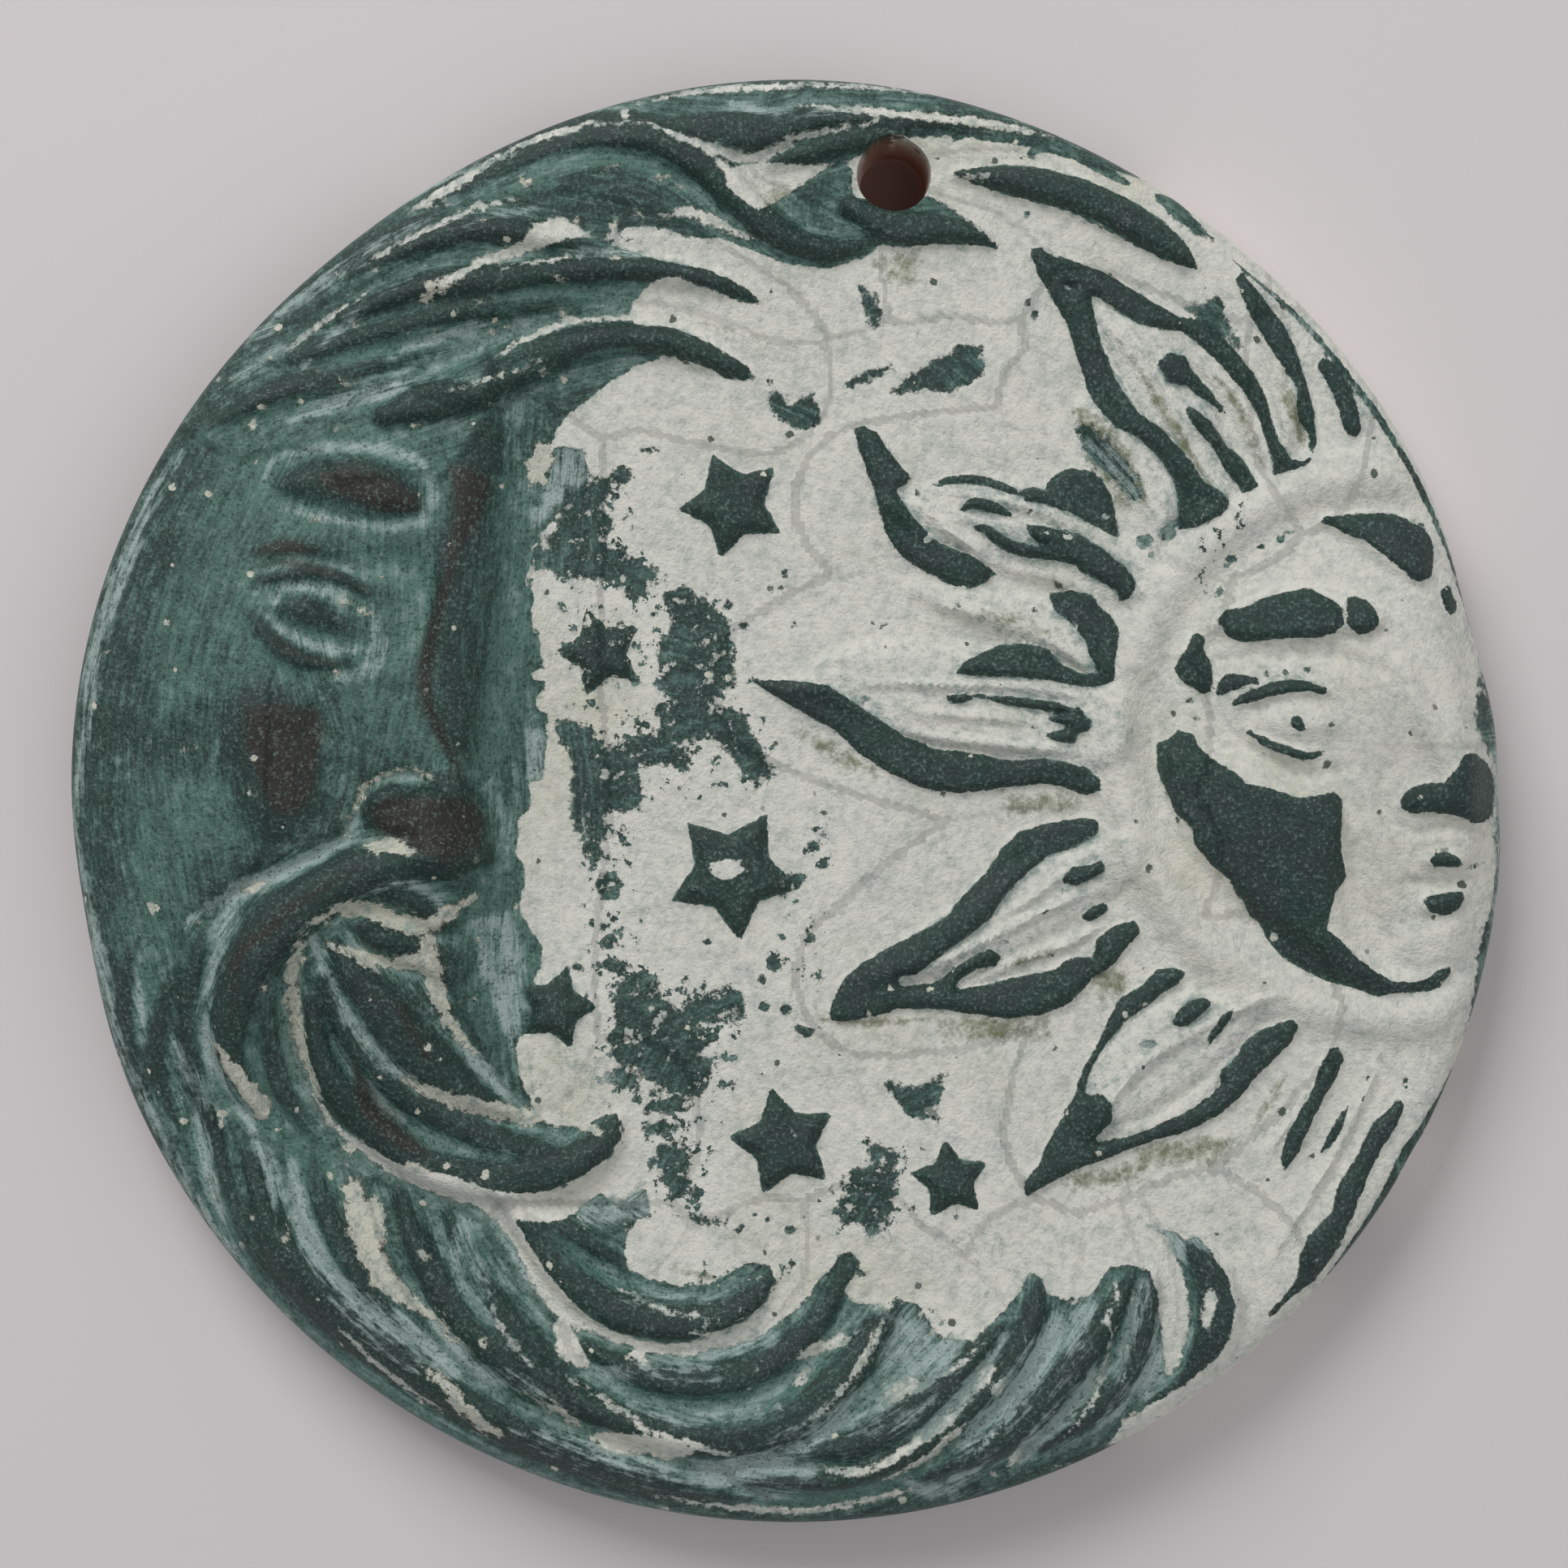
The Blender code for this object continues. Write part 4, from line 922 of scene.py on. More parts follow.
@dataclass
class Rays:
    """The sun's rays: flat-topped bands with crisp edges around lower, rounder leaves."""

    height: float = 1.2
    shoulder: float = 0.65
    tops: Shapes = areas(
        (131.5, 36, 134, 35, 135.5, 42, 137.5, 47, 140, 51, 143, 53, 146.5, 57, 148, 59.5, 150, 60.5, 151.5,
         62, 150.5, 63.5, 147.5, 65, 145.2, 65.5, 145, 62, 144.5, 59.5, 143, 57, 141, 54.8, 137, 52.5, 134.5,
         49.5, 133, 45, 131.5, 40, 128, 34, 126.8, 30.8, 128.5, 30.4),
        (127, 30.5, 131, 31.8, 136, 33.6, 140, 36, 143, 37.8, 145.5, 39.2, 148.5, 39.5, 152, 43, 154.5, 46,
         156, 49, 156.8, 52, 157.5, 54.5, 159, 56.5, 160.5, 57, 161.5, 56, 161.2, 53.5, 160, 52, 159.7, 50,
         159.8, 48, 159, 46.5, 156.5, 43, 154, 39, 152.2, 34.5, 153, 33.5, 155.5, 36.5, 158.5, 40.5, 160, 44,
         161.2, 48, 162, 51, 162.2, 54.5, 161.5, 57, 160.5, 57.8, 158, 58.2, 156.7, 59, 156.8, 57, 156, 54.5,
         155, 51, 153, 48, 150, 44.5, 146, 41, 140, 40, 135, 36.6, 130, 34.6),
        (145.8, 50, 147, 50.5, 149, 52, 151, 55, 153, 56.5, 154, 58, 155, 60, 154, 60.5, 153, 61, 152.5, 60,
         151, 58.5, 149.5, 55.5, 148, 54, 146.5, 52),
        (142.5, 45, 144, 43.5, 146, 44, 147, 46, 149, 48, 151, 50.5, 150.5, 51, 148.4, 49.5, 146, 47.8,
         143.5, 47.2),
        (162.2, 45, 163, 44, 165, 45.5, 166.5, 48, 167.5, 51, 167.8, 53, 167, 54, 165.5, 53, 164.8, 50,
         163.5, 47),
        (105.2, 52.8, 106.5, 52.5, 108, 53.3, 109.5, 55.5, 111, 57.5, 112.5, 59, 111, 60, 110.4, 60.6, 111.5,
         62.5, 113, 64.5, 114.5, 65.8, 116, 67.2, 118, 67.8, 120.5, 69, 122.5, 70.5, 121.5, 71.8, 119, 72.7,
         116.5, 71.8, 113.5, 70.3, 111, 68.5, 109.5, 66.5, 108.5, 63.5, 107.5, 60, 106, 56),
        (125.5, 60.5, 127.5, 60, 128.5, 60.5, 130, 58.5, 132, 57.7, 134.5, 58.2, 136, 59.5, 137, 61.5, 137.5,
         64, 138, 66.5, 135, 65, 132, 63.5, 129, 62.3, 126, 61.8),
        (126.2, 64.8, 129, 65, 133, 66, 136, 68, 138.5, 70, 140, 71.8, 139, 74, 137.8, 74.2, 137.5, 73, 135,
         71.5, 133, 70.5, 132.5, 69.8, 129.5, 69, 129, 67.5, 127, 66.5),
        (129.2, 73, 132, 72.8, 134.5, 73.3, 135.5, 75, 137, 76, 137.8, 77.5, 137.5, 80, 137.2, 82.5, 137, 84,
         135, 84.8, 132, 84.5, 129, 83.8, 125, 83.5, 120, 83.3, 117.5, 83, 119, 81.5, 121, 80.5, 123, 79.5,
         126, 79.3, 129, 80, 131, 82, 133, 83, 135.2, 83, 134.5, 81.5, 133.5, 79, 132, 77, 130, 75.5, 129.5,
         74),
        (92.4, 83.8, 95, 83.8, 98.5, 84, 102, 84.5, 105, 86.5, 108, 88.5, 111, 90.5, 115, 92.2, 120, 92.8,
         124, 93.7, 129, 93.5, 133.5, 94.5, 135.5, 96, 135.5, 97.5, 134, 98, 131, 97, 128.5, 96.5, 124, 97,
         118, 97.8, 114, 97.2, 110, 95.5, 106, 93, 103, 90, 100, 88.5, 97.5, 87, 94.5, 85.2),
        (129, 88.5, 131, 88, 133, 87, 133.8, 88.5, 134.5, 88.8, 134, 90, 132.5, 90.5, 132.5, 91.6, 130, 91.5,
         128.5, 90.5, 130.5, 90, 131.5, 89.5, 129.5, 89),
        (102, 125.8, 102.5, 123.5, 104, 120.5, 106, 118.8, 110, 116.5, 113, 115, 116.5, 113, 119, 110, 121.5,
         107.5, 123.5, 104.5, 125.5, 102.5, 129, 101.5, 133, 100.8, 135, 101, 135.5, 102, 135, 103, 132,
         104.5, 129, 105.5, 126, 108, 124, 110, 122, 113, 119, 115.5, 116, 117.5, 113, 120, 110.5, 120.4,
         111, 121.5, 115, 121.2, 118, 119, 120.5, 117.5, 122, 116.8, 123.5, 118, 122.5, 119, 120, 119.5, 118,
         121, 117.8, 122, 122, 121.2, 126, 120.2, 130, 119.5, 131, 118.5, 133, 117.8, 135, 118.5, 135, 116,
         136, 115, 137.5, 114, 140, 113.5, 140.5, 115, 139, 116.5, 137, 119, 134.5, 120.5, 133, 122.5, 131,
         124, 128, 125, 124, 125.5, 120, 125, 116, 124.3, 110, 124.3, 109.5, 124.8, 105, 125.8),
        (130.5, 108.5, 132, 106.8, 134.5, 106.5, 135.5, 106, 136.2, 107.2, 134, 108.5, 132.5, 109.2),
        (133, 113, 134.5, 111.8, 136.2, 111.2, 136.5, 112.2, 135, 113.2, 134, 113.5),
        (126.2, 147.5, 126.2, 145.5, 128, 143.5, 129, 141, 131, 137.5, 132.5, 134.5, 133.5, 131.5, 135.5,
         128, 136.5, 125.5, 138, 123, 140.5, 121.5, 142.5, 119.5, 144.5, 119.2, 146, 119.8, 145.5, 121, 143,
         122.5, 140.5, 124.5, 138.5, 126, 136, 129, 134.5, 131.5, 133.5, 134.5, 134.5, 135, 135.5, 134.5,
         136.8, 136, 137, 138, 135, 140, 135.2, 140.7, 139, 140, 143, 138.5, 147, 136.5, 149, 135, 150.5,
         133.5, 150.3, 132, 151.5, 131, 153, 129, 155, 127, 157.5, 126.2, 159, 125.5, 160, 126.5, 159, 128.5,
         157, 130.5, 154.5, 133, 152.5, 135.5, 150, 137.5, 146, 139.5, 142, 140.5, 137, 142.5, 132, 144.3,
         128, 146.5),
        (144, 126.2, 145, 124.5, 146.5, 123.2, 148.5, 122.8, 149.2, 123.5, 148, 125, 146.5, 126, 146, 126.5),
        (164, 129, 165, 129, 165.5, 130.5, 164.5, 133, 163, 135.5, 161.5, 138.5, 160, 142, 158.5, 144, 158.2,
         144.8, 157.8, 142.5, 158.5, 140, 160, 137, 161.5, 134.5, 162.5, 131.5),
        (172.2, 135.2, 173, 136, 172.2, 138.5, 170, 142, 168.5, 145, 167, 149, 165, 154, 162, 158, 159, 160,
         156.5, 162.5, 156.2, 161.8, 158, 160, 160, 157, 160, 155, 161, 152.5, 164, 149.5, 165, 146, 167,
         143, 169, 138.5, 171, 137),
    )
    ribs: Shapes = runs(
        (.6, 115, 59.8, 117.5, 59.2, 121, 59.3, 124, 60.3, 126.5, 61.2),
        (.7, 118.2, 63, 120, 62.2, 122.5, 62.8, 124.5, 63.6),
        (.8, 120, 65.2, 121.5, 65.5, 124, 67.2, 126.5, 68, 130, 68.5, 133, 69),
        (.3, 122.5, 70.6, 124.8, 71.5),
        (.6, 116.5, 86, 118, 86.2, 120, 85.8),
        (.6, 120.5, 85.8, 125, 86.5, 130, 87.2, 133, 88),
        (.6, 148.6, 128.6, 150.4, 126, 151.8, 124.2),
        (.5, 166, 136.5, 165, 138.5, 164, 140.5, 162.8, 142.2),
    )
    flecks: Shapes = spots(
        (151.7, 69, .9, .5), (155.3, 67.4, .5, .3), (157.7, 66.5, .6), (159, 65.6, .7, .3),
        (150.2, 73.2, .7, .4, -60), (113, 60.8, .4), (126.8, 63.3, .4), (106.5, 86.2, .7, .4),
        (108.2, 86.7, .3), (131, 109.8, .4), (123.5, 116, .7, .4), (141.5, 128.6, 1, .45, -10),
        (140.7, 131.5, .4), (139.5, 132.8, .3), (168.3, 132.8, .4), (173.2, 133.6, .35, .8),
        (128.5, 112.5, .5, .2, -30), (126.3, 113, .3), (136, 69.8, .3), (127.8, 121, .3), (145, 125.6, .4),
        (165, 145.2, .3), (155.8, 83.2, .5), (158, 83, .4), (160.6, 82.6, .5), (146.6, 86.4, .6, .3),
        (147.3, 88.6, .5, .3), (176.6, 104.6, .9, .3), (181.6, 106.6, .9, .2, -20), (141, 66.8, 1, .9),
        (143.6, 65.8, 1.1, .8), (142, 68.6, .5), (144.6, 64.6, .7, .5),
    )
    nicks: Shapes = runs(
        (.4, 110.6, 60.4, 113, 60),
        (.18, 158.4, 89.3, 159.6, 88.7),
        (.4, 155.2, 113.2, 157.4, 111),
    ) + spots(
        (114.2, 66.5, .7, .5, -40), (132.6, 76.8, .4, .3), (136, 63.8, .6, .4), (146.9, 83, .3, .5),
        (147, 97, .8, .6, 40), (118.6, 72.5, .5, .3), (153.8, 134.4, .3), (157, 112, .4, .3),
        (138.5, 124.9, .4, .6), (166.8, 75.8, .25), (166.8, 78, .25), (119.3, 70.9, .2), (178.2, 73.2, .3),
    )
    ridge_height: float = 1.0
    ridge_shoulder: float = 0.8
    ridges: Strokes = runs(
        (.9, 136, 40, 139.5, 44, 142, 48, 145, 54, 148, 59, 151, 61.5),
        (.9, 138, 39.8, 142, 41, 146, 43.2, 150, 47.5, 153, 52, 155.5, 57, 156, 59),
        (.8, 153, 38, 156, 42.4, 158, 47, 159.4, 52, 159.8, 55.5),
        (.7, 154.6, 43, 157, 48, 158.4, 53, 159, 56),
        (.8, 112.5, 60.3, 116.5, 60.5, 121, 61.2, 126, 62.5, 131, 64.5, 135, 66.8, 138.5, 70, 140, 73.5),
        (.8, 112, 61.4, 115, 64, 119, 67.2, 124, 70, 129, 71.2, 134, 73.4, 137.5, 76),
        (.6, 116, 64, 120, 64.4, 125, 65.6, 130, 67.5),
        (1, 115, 74.5, 120, 75.7, 126, 77.5, 131, 80, 134.5, 83),
        (.8, 105, 84.8, 110, 84.2, 116, 84.5, 124, 84.5, 131, 85.5, 133.5, 86.2),
        (.8, 104, 86.2, 108, 88.5, 113, 90.5, 120, 91.5, 128, 92.2, 133, 92.8),
        (.6, 111, 87, 115, 88, 122, 88.5, 129, 89.5),
        (.5, 98.5, 83.2, 101.5, 81.8, 105, 80.6, 109.5, 79),
        (.8, 112, 121, 117, 118, 123, 115, 129, 112, 135, 109.5),
        (.8, 119, 121.5, 124, 119, 131, 116.5, 136, 114),
        (.7, 123, 113, 128, 110, 134, 105),
        (.9, 135, 139, 138, 134, 142, 130, 147, 127, 153, 124, 157, 122.5),
        (.9, 137, 140, 143, 138, 148, 135, 151, 131),
        (.6, 140, 132, 144, 129, 150, 127),
        (.8, 156, 143, 159, 138, 162, 133, 164, 129),
        (.8, 170, 129, 168.6, 134, 165, 141, 161, 148, 156, 156),
    )
    leaves: Strokes = forms(
        (1.3, 2.2, (1.2, 4.6, 5.6, 3.6), 136, 39, 141, 45, 144.6, 52, 150, 58.6),
        (1.3, 2.2, (2.2, 3.6, 3.2, 1.4), 134, 51, 138.6, 56, 142.4, 61, 142.6, 66.6),
        (1.2, 2, (1, 3.6, 5.2, 4.6), 108, 62, 116, 63.4, 126, 65, 138, 70.6),
        (1.2, 2, (1, 3, 3.4, 1.2), 112, 72.6, 122, 75.4, 130, 78, 135.6, 82.4),
        (1.3, 2.4, (1, 5, 6.4, 6), 98, 84.4, 108, 84, 120, 86, 134, 89.6),
        (1.2, 2.2, (.8, 4, 5, 4), 108, 120.4, 118, 116, 128, 110.6, 137, 106),
        (1.3, 2.4, (1.2, 5.4, 5.6, 3), 134, 139.4, 140, 132.6, 146, 128, 153, 124.6),
        (1, 1, (1.2, 1.2), 157.6, 56, 159.6, 48),
    )

    def carve(self, sheet: Sheet) -> Array:
        """Height of the rays over the slab, in millimetres."""
        return sheet.raise_forms(self.leaves)

    def raise_tops(self, sheet: Sheet) -> Array:
        """Height of the flat tops over the leaves."""
        tops = sheet.raise_tops(self.tops + self.ribs, self.height, self.shoulder)
        return np.maximum(tops, sheet.raise_tops(self.ridges, self.ridge_height, self.ridge_shoulder))

    def brush(self, paint: Paint) -> None:
        """Wipe the white off the tops."""
        paint.pale.rub(self.tops + self.ribs, 0.2)
        paint.polish.dab(self.tops + self.ribs, 0.85, 1.0)
        paint.haze.dab(self.leaves, 0.7, 2.0)
        paint.pale.rub(self.flecks, 0.26)
        paint.pale.lay(self.nicks, 0.15)


@dataclass
class Stars:
    """Raised five-pointed stars on the ground between the heads."""

    height: float = 1.3
    shoulder: float = 0.8
    stars: tuple[Star, ...] = (
        Star(((90.3, 62.2),), 6.4, 113),
        Star(((74.0, 80.4),), 5.2, 108),
        Star(((90.3, 107.6),), 8.0, 60),
        Star(((68.5, 124.2),), 4.9, 75),
        Star(((96.6, 140.8),), 6.5, 103),
        Star(((117.1, 145.4),), 4.6, 98),
    )

    def carve(self, sheet: Sheet) -> Array:
        """Height of the stars over the ground, in millimetres."""
        top = sheet.blank()
        for star in self.stars:
            top = np.maximum(top, soft_step(star.depth(sheet.x, sheet.y), self.shoulder))
        return self.height * top

    def brush(self, paint: Paint) -> None:
        """Wipe the white off the stars."""
        paint.pale.rub(self.stars, 0.18, 0.25)
        paint.polish.dab(self.stars, 0.9, 1.0)


@dataclass
class Ground:
    """White wash over the ground between the heads, with green breaking through it."""

    area: Shapes = areas(
        (97.5, 20.5, 104.5, 20, 110, 17, 118, 16.8, 126, 18, 150, 24, 175, 45, 190, 80, 190, 120, 175, 150,
         160, 167, 146, 175, 136, 179, 138.5, 175.5, 142, 172.8, 146, 170.5, 149.5, 167.5, 151.3, 165, 152,
         161, 151, 157, 149, 154, 147.5, 152.3, 146, 152.8, 145, 152, 142.5, 151.2, 144.5, 154, 145.4, 158,
         145.6, 162, 145, 167, 143.5, 169, 143, 164, 142.5, 159, 141.5, 156.5, 139.5, 155.8, 137, 156, 135.5,
         157.5, 134.5, 159.5, 131, 160, 129, 159.5, 128.5, 157.5, 127, 156.3, 126, 158.5, 124.5, 160.5, 122,
         163, 120, 164.8, 117, 165, 115, 164, 113.5, 161, 111.5, 160.3, 108, 161, 105, 160.5, 103.8, 159,
         105, 157.5, 106, 155.5, 105, 154.2, 103.5, 154.5, 102.8, 156, 100.5, 158, 99.5, 159.2, 98, 161.5,
         95.5, 163, 92, 164.5, 88, 165, 84, 164.5, 83, 163.5, 88, 163.7, 92, 162.5, 94.5, 160, 95.4, 157.5,
         95, 155.8, 92, 155.5, 89, 157.5, 87.5, 158.2, 84, 158.6, 80, 157.5, 77.5, 156.5, 77, 154.5, 77.2,
         152.5, 78.5, 150, 80, 149.5, 79.5, 146.5, 76, 148.5, 74, 147, 70, 150, 67, 150.5, 63.5, 149.8, 65,
         152.5, 68, 157, 71, 160.5, 75, 163.5, 79, 164.8, 76, 165, 73, 163.8, 70.5, 161.5, 70, 163, 72, 166,
         73, 168.5, 70.5, 167, 69, 164.5, 68, 163.5, 69, 162, 67, 158.5, 64.5, 154.5, 62, 151, 59, 148.3, 55,
         146, 52, 144, 55, 144.2, 60, 146, 64, 146.8, 68, 146.4, 72, 144.6, 75, 142.5, 77, 139.5, 76, 137,
         71, 139, 67.5, 138.5, 66, 137, 64, 132.5, 63.5, 129, 64.8, 126, 65.5, 121, 66.8, 119, 66.8, 116.5,
         65, 114, 64, 112, 64.8, 107.5, 63.5, 105, 64, 103, 63.7, 101, 65.5, 99.5, 65, 96.5, 66.8, 96, 67.2,
         92, 67.5, 88, 67, 84, 66.5, 78, 65.5, 72, 67, 68, 66.5, 66, 69.5, 62, 72.5, 59.5, 72, 55.5, 69, 55,
         67.5, 56, 68.5, 53, 70, 51, 71.5, 50, 74.5, 47.5, 78.5, 45, 82, 43.9, 86, 45, 90, 46.8, 93.4, 47,
         92.4, 45.4, 88, 42.6, 83, 40.4, 78, 40.2, 77.8, 37.5, 80, 35, 83, 34.2, 87, 35.6, 91, 37.2, 94,
         37.6, 92, 35.6, 87, 33.4, 80, 32, 75, 30.3, 80, 29.4, 85, 29.4, 89, 29.6, 93, 31, 97, 32.6, 102, 33,
         107, 31.6, 109, 29.5, 105.5, 25.5, 105, 23, 105, 21, 103.5, 19.7, 98, 23.5, 93.5, 26.5, 90.5, 24.5,
         89.5, 21.5, 92, 20.3),
    )
    blotches: Shapes = areas(
        (69, 60, 72, 60, 77.5, 57.5, 78, 59, 74.5, 61, 74, 62.5, 75.5, 64, 75.5, 65.5, 73, 66.5, 77, 68,
         78.5, 69, 81.2, 70.5, 81.5, 71.5, 79.5, 71.5, 80, 73.5, 78, 73.8, 75.5, 71.5, 72.5, 71.5, 69, 71.5,
         67, 70, 67, 68, 69, 64),
        (81.5, 73, 84.5, 72.5, 87, 74, 89.8, 76.5, 90.5, 84.5, 88.5, 85, 88, 87, 91.5, 88, 93.5, 92, 95.5,
         95, 93, 97, 90, 93, 87, 90, 84.5, 92, 85, 95, 80.5, 94, 78.5, 94, 77.5, 92.5, 79, 98, 78.5, 100,
         74.5, 100, 74.5, 103.5, 72.5, 104, 71.5, 100, 70.5, 94, 68.3, 90, 69, 88.5, 73.5, 90.5, 74.5, 92.5,
         79, 90.5, 81.5, 90, 81.5, 88, 83.5, 87, 82, 85, 81.2, 81, 81.5, 79, 83, 76.5),
        (76.5, 120.5, 81, 120.5, 81.5, 123, 82.5, 124.5, 87, 122.5, 90, 121.5, 91.5, 122.5, 92, 125, 90.5,
         126.2, 85, 126, 88, 128, 86, 130, 87.8, 131, 87, 134, 85.5, 135, 82, 134.5, 79, 132, 75.2, 130,
         74.8, 128, 76, 126, 75.7, 123.5),
        (80.5, 141, 85, 141, 84.5, 145, 86, 147.5, 82.5, 147.3, 81, 144.5),
        (108.5, 133.5, 109.5, 133.2, 111, 134, 114, 133.5, 115, 132.5, 116.5, 132, 115.8, 133.5, 116.2, 135,
         115.5, 136.2, 114, 136.5, 115.5, 137.5, 115, 138, 113, 138, 111.5, 137, 110.5, 135.5),
        (107.2, 140.5, 109.5, 141.5, 110.5, 142.2, 109.7, 144, 110.2, 146, 110, 148.8, 109, 150, 109.5, 151,
         108, 152.2, 106.5, 151.5, 106.2, 150.5, 103.5, 150.8, 104.5, 150, 103.2, 149, 103.5, 147.8, 105.5,
         147, 103.5, 145.8, 105, 144.8, 106, 144, 107.5, 143.5, 107, 142),
        (109.5, 48.5, 112, 46.5, 116, 44, 119, 42.5, 121, 43, 121.2, 45.5, 119.5, 47.5, 115, 48.3, 112,
         48.2),
        (94.5, 48.5, 97, 48.6, 100.5, 49, 101, 52, 98.5, 53, 96, 51.5, 94.8, 50.5),
        (84.8, 149.5, 86.5, 150, 88, 150.3, 89.8, 150.2, 89.4, 151, 87.5, 150.9, 86.5, 151.2, 85.4, 150.4),
        (132.5, 52, 134.5, 52.6, 137, 55, 140, 59.4, 141, 61.8, 139.4, 61.6, 136.6, 58.4, 134, 56.6),
        (146, 38, 148, 37.5, 150, 36.6, 150.8, 38, 151.5, 40, 153, 42.5, 152, 42.5, 150, 41, 148, 39.5),
        (182.8, 82, 183.3, 85, 184, 88, 184.8, 91, 185.2, 94.5, 183.5, 92.5, 182, 90.5, 181.5, 89.5),
        (184.3, 103, 185.2, 99, 185.2, 101, 184.7, 104.5),
        (182.8, 114.5, 184, 113, 183.8, 118, 183.2, 121, 182.5, 124, 181.8, 127, 181, 129),
        (72, 66.6, 75, 67, 76.4, 69.6, 74, 71.4, 71.6, 70),
        (70.6, 96, 72, 98, 71.6, 103, 70.2, 101),
        (142.5, 24, 145, 26, 148, 28, 150, 29.5, 148, 29, 145, 27.2),
        (74.5, 131.8, 79, 132.4, 78.6, 133.8, 75, 133.6),
        (79, 136, 84, 135, 85.4, 136.4, 82, 137.4, 79.4, 137),
        (67, 46, 71.5, 44.6, 72, 48.5, 69.4, 51, 67, 51.5),
    ) + runs(
        (.6, 104.3, 47.5, 107, 46.4, 110, 45.5),
        (.9, 106, 35.3, 107.5, 38, 108, 40.5),
        (.3, 78, 134.5, 85, 134.4),
    )
    bits: Shapes = spots(
        (94.8, 47.2, .5), (80, 55.5, 1, .35), (80.7, 75.7, .4), (91.7, 77, .5), (89.7, 74.5, .5),
        (91.2, 74, .4), (94.8, 72.6, .4), (96.7, 70.7, .4), (73, 105, 1.3), (75, 109.2, 1.5, 1.8),
        (75.6, 113.2, .5), (75.1, 116, 1), (75.7, 119, 1.7, .8), (71, 119.2, .5), (71.8, 111.8, .4),
        (76.8, 102.2, .4), (77, 104, .4), (95.2, 118.7, .8), (94, 120.8, .5), (94.2, 124, .7),
        (97, 124.5, .7), (99.5, 127.2, .7, .5), (100.2, 104.2, .8, .5), (101.5, 106.5, .7), (98, 108.5, .8),
        (100.6, 102.2, .4), (101.2, 102.8, .3), (98.5, 126.8, .5), (126.5, 26.3, .4), (127.5, 39, .5),
        (87, 116, .5, .25), (95.8, 131, .3), (81.5, 139, 2.2, .7), (91, 151.4, .6, .3, -15), (93, 149.9, .3),
        (94.6, 150.4, .25), (97.4, 151.6, .8, .55), (99, 150, .3), (99.6, 154.4, .3), (101, 152.6, .3),
        (101, 148, .3), (102.4, 146.6, .3), (106, 156.8, .7, .4), (110.4, 157.8, .3), (110.8, 149, .35),
        (112.4, 149, .3), (117.4, 153, .4, .2), (117.9, 150, .5), (97.6, 155.8, .4), (118.5, 140.2, .3),
        (86.6, 155.6, .4, .2, 30), (72.8, 58.6, .4), (100.5, 98, .3), (103, 90, .3), (98, 77, .3),
        (109, 77, .5, .25, -30), (118, 74.6, .4), (134.8, 118, .3), (139.8, 101.2, .3), (130, 129, .3),
        (99.8, 140, .3),
    )
    holes: Shapes = spots(
        (87.6, 87.8, .5), (78, 91.2, .7, .5), (74.5, 95.5, .6, .9), (84.5, 91.5, .5), (77.5, 127, .7),
        (78.5, 128.4, .5), (78.8, 130, .4), (82, 128, .5, .3), (97.5, 49.2, .8), (108.7, 143, .6),
        (75, 61.8, .5, .3), (71.5, 66.5, .5, .3), (85, 76, .4, .8, 20), (88, 79, .3, .8), (86, 82, .5),
        (80.4, 99, .3), (72, 98, .2, .7), (78, 122.4, .3, .5), (84.2, 124.4, .5, .3), (85.8, 132.4, .4),
        (98, 106.4, .3), (83.4, 143.4, .3, .4), (111.6, 46.8, .3), (107, 147, .4, .2), (73, 105, .4, .3),
        (75.2, 109, .5, .4), (69.4, 92, .3), (86.6, 93.6, .2, .6), (105.8, 149.4, .4, .2),
    )
    crumbs: Shapes = areas(
        (72, 100, 78, 100, 80, 118, 90, 120, 92, 134, 86, 150, 78, 150, 74, 136, 72, 124, 71, 110),
        (70, 60, 78, 57, 80, 72, 90, 74, 96, 92, 94, 98, 80, 100, 70, 92, 68, 72),
        (100, 100, 103, 100, 104, 120, 100, 124, 94, 118),
        (104, 140, 112, 140, 112, 152, 103, 152),
        (108, 160, 116, 160, 118, 168, 108, 168),
        (148, 62, 156, 60, 150, 74, 146, 74),
        (84, 157, 96, 154, 98, 158, 90, 164, 84, 163),
    )
    # Painted shade: soft olive patches just below the raised bands and locks, where shade falls.
    painted_shade_below_forms: Shapes = areas(
        (106.8, 32.5, 110, 30.8, 113.5, 30.3, 113.5, 36, 109, 34.5),
        (93.5, 23, 103.5, 23, 103.5, 28.5, 95, 28.5),
        (118.5, 75, 122, 75.2, 126, 76, 130, 77.8, 133, 79.5, 130, 79, 125, 77.8, 121, 76.5),
        (123, 97.4, 134, 97.6, 133, 100, 124, 100.6),
        (98, 88.6, 104, 92, 110, 96.2, 104, 95, 98, 91),
        (115, 125.2, 130, 124.6, 129, 128.6, 116, 128.4),
        (134, 119, 140, 119, 139, 123, 134, 123.6),
        (140, 140.6, 152, 139.6, 151, 143.6, 140, 144),
        (131, 144.6, 142, 142.4, 141, 145.6, 132, 147),
        (134, 52.6, 138, 58, 140, 64, 137, 62, 134, 57),
    )
    veins: Shapes = runs(
        (.8, 149, 46, 151, 48, 153, 51, 154, 54, 155.6, 57),
        (.8, 139.4, 44.6, 142, 48.6, 144.6, 53, 147, 57, 149, 60),
        (1.2, 157, 46.6, 159.6, 51, 160.6, 55),
        (1.6, 132.6, 50.6, 135, 53, 138, 57, 141, 62),
        (.7, 101, 125.6, 108, 126, 115, 125.6),
        (.7, 154, 139.5, 157, 135, 158.5, 132.5),
        (.4, 79, 38.2, 82.5, 38.2),
        (.9, 86, 39.6, 90.5, 41),
        (.5, 82, 156.2, 86, 157, 90, 158),
        (.5, 123, 120, 125, 118.6, 128, 117.8, 131, 116.8),
    )
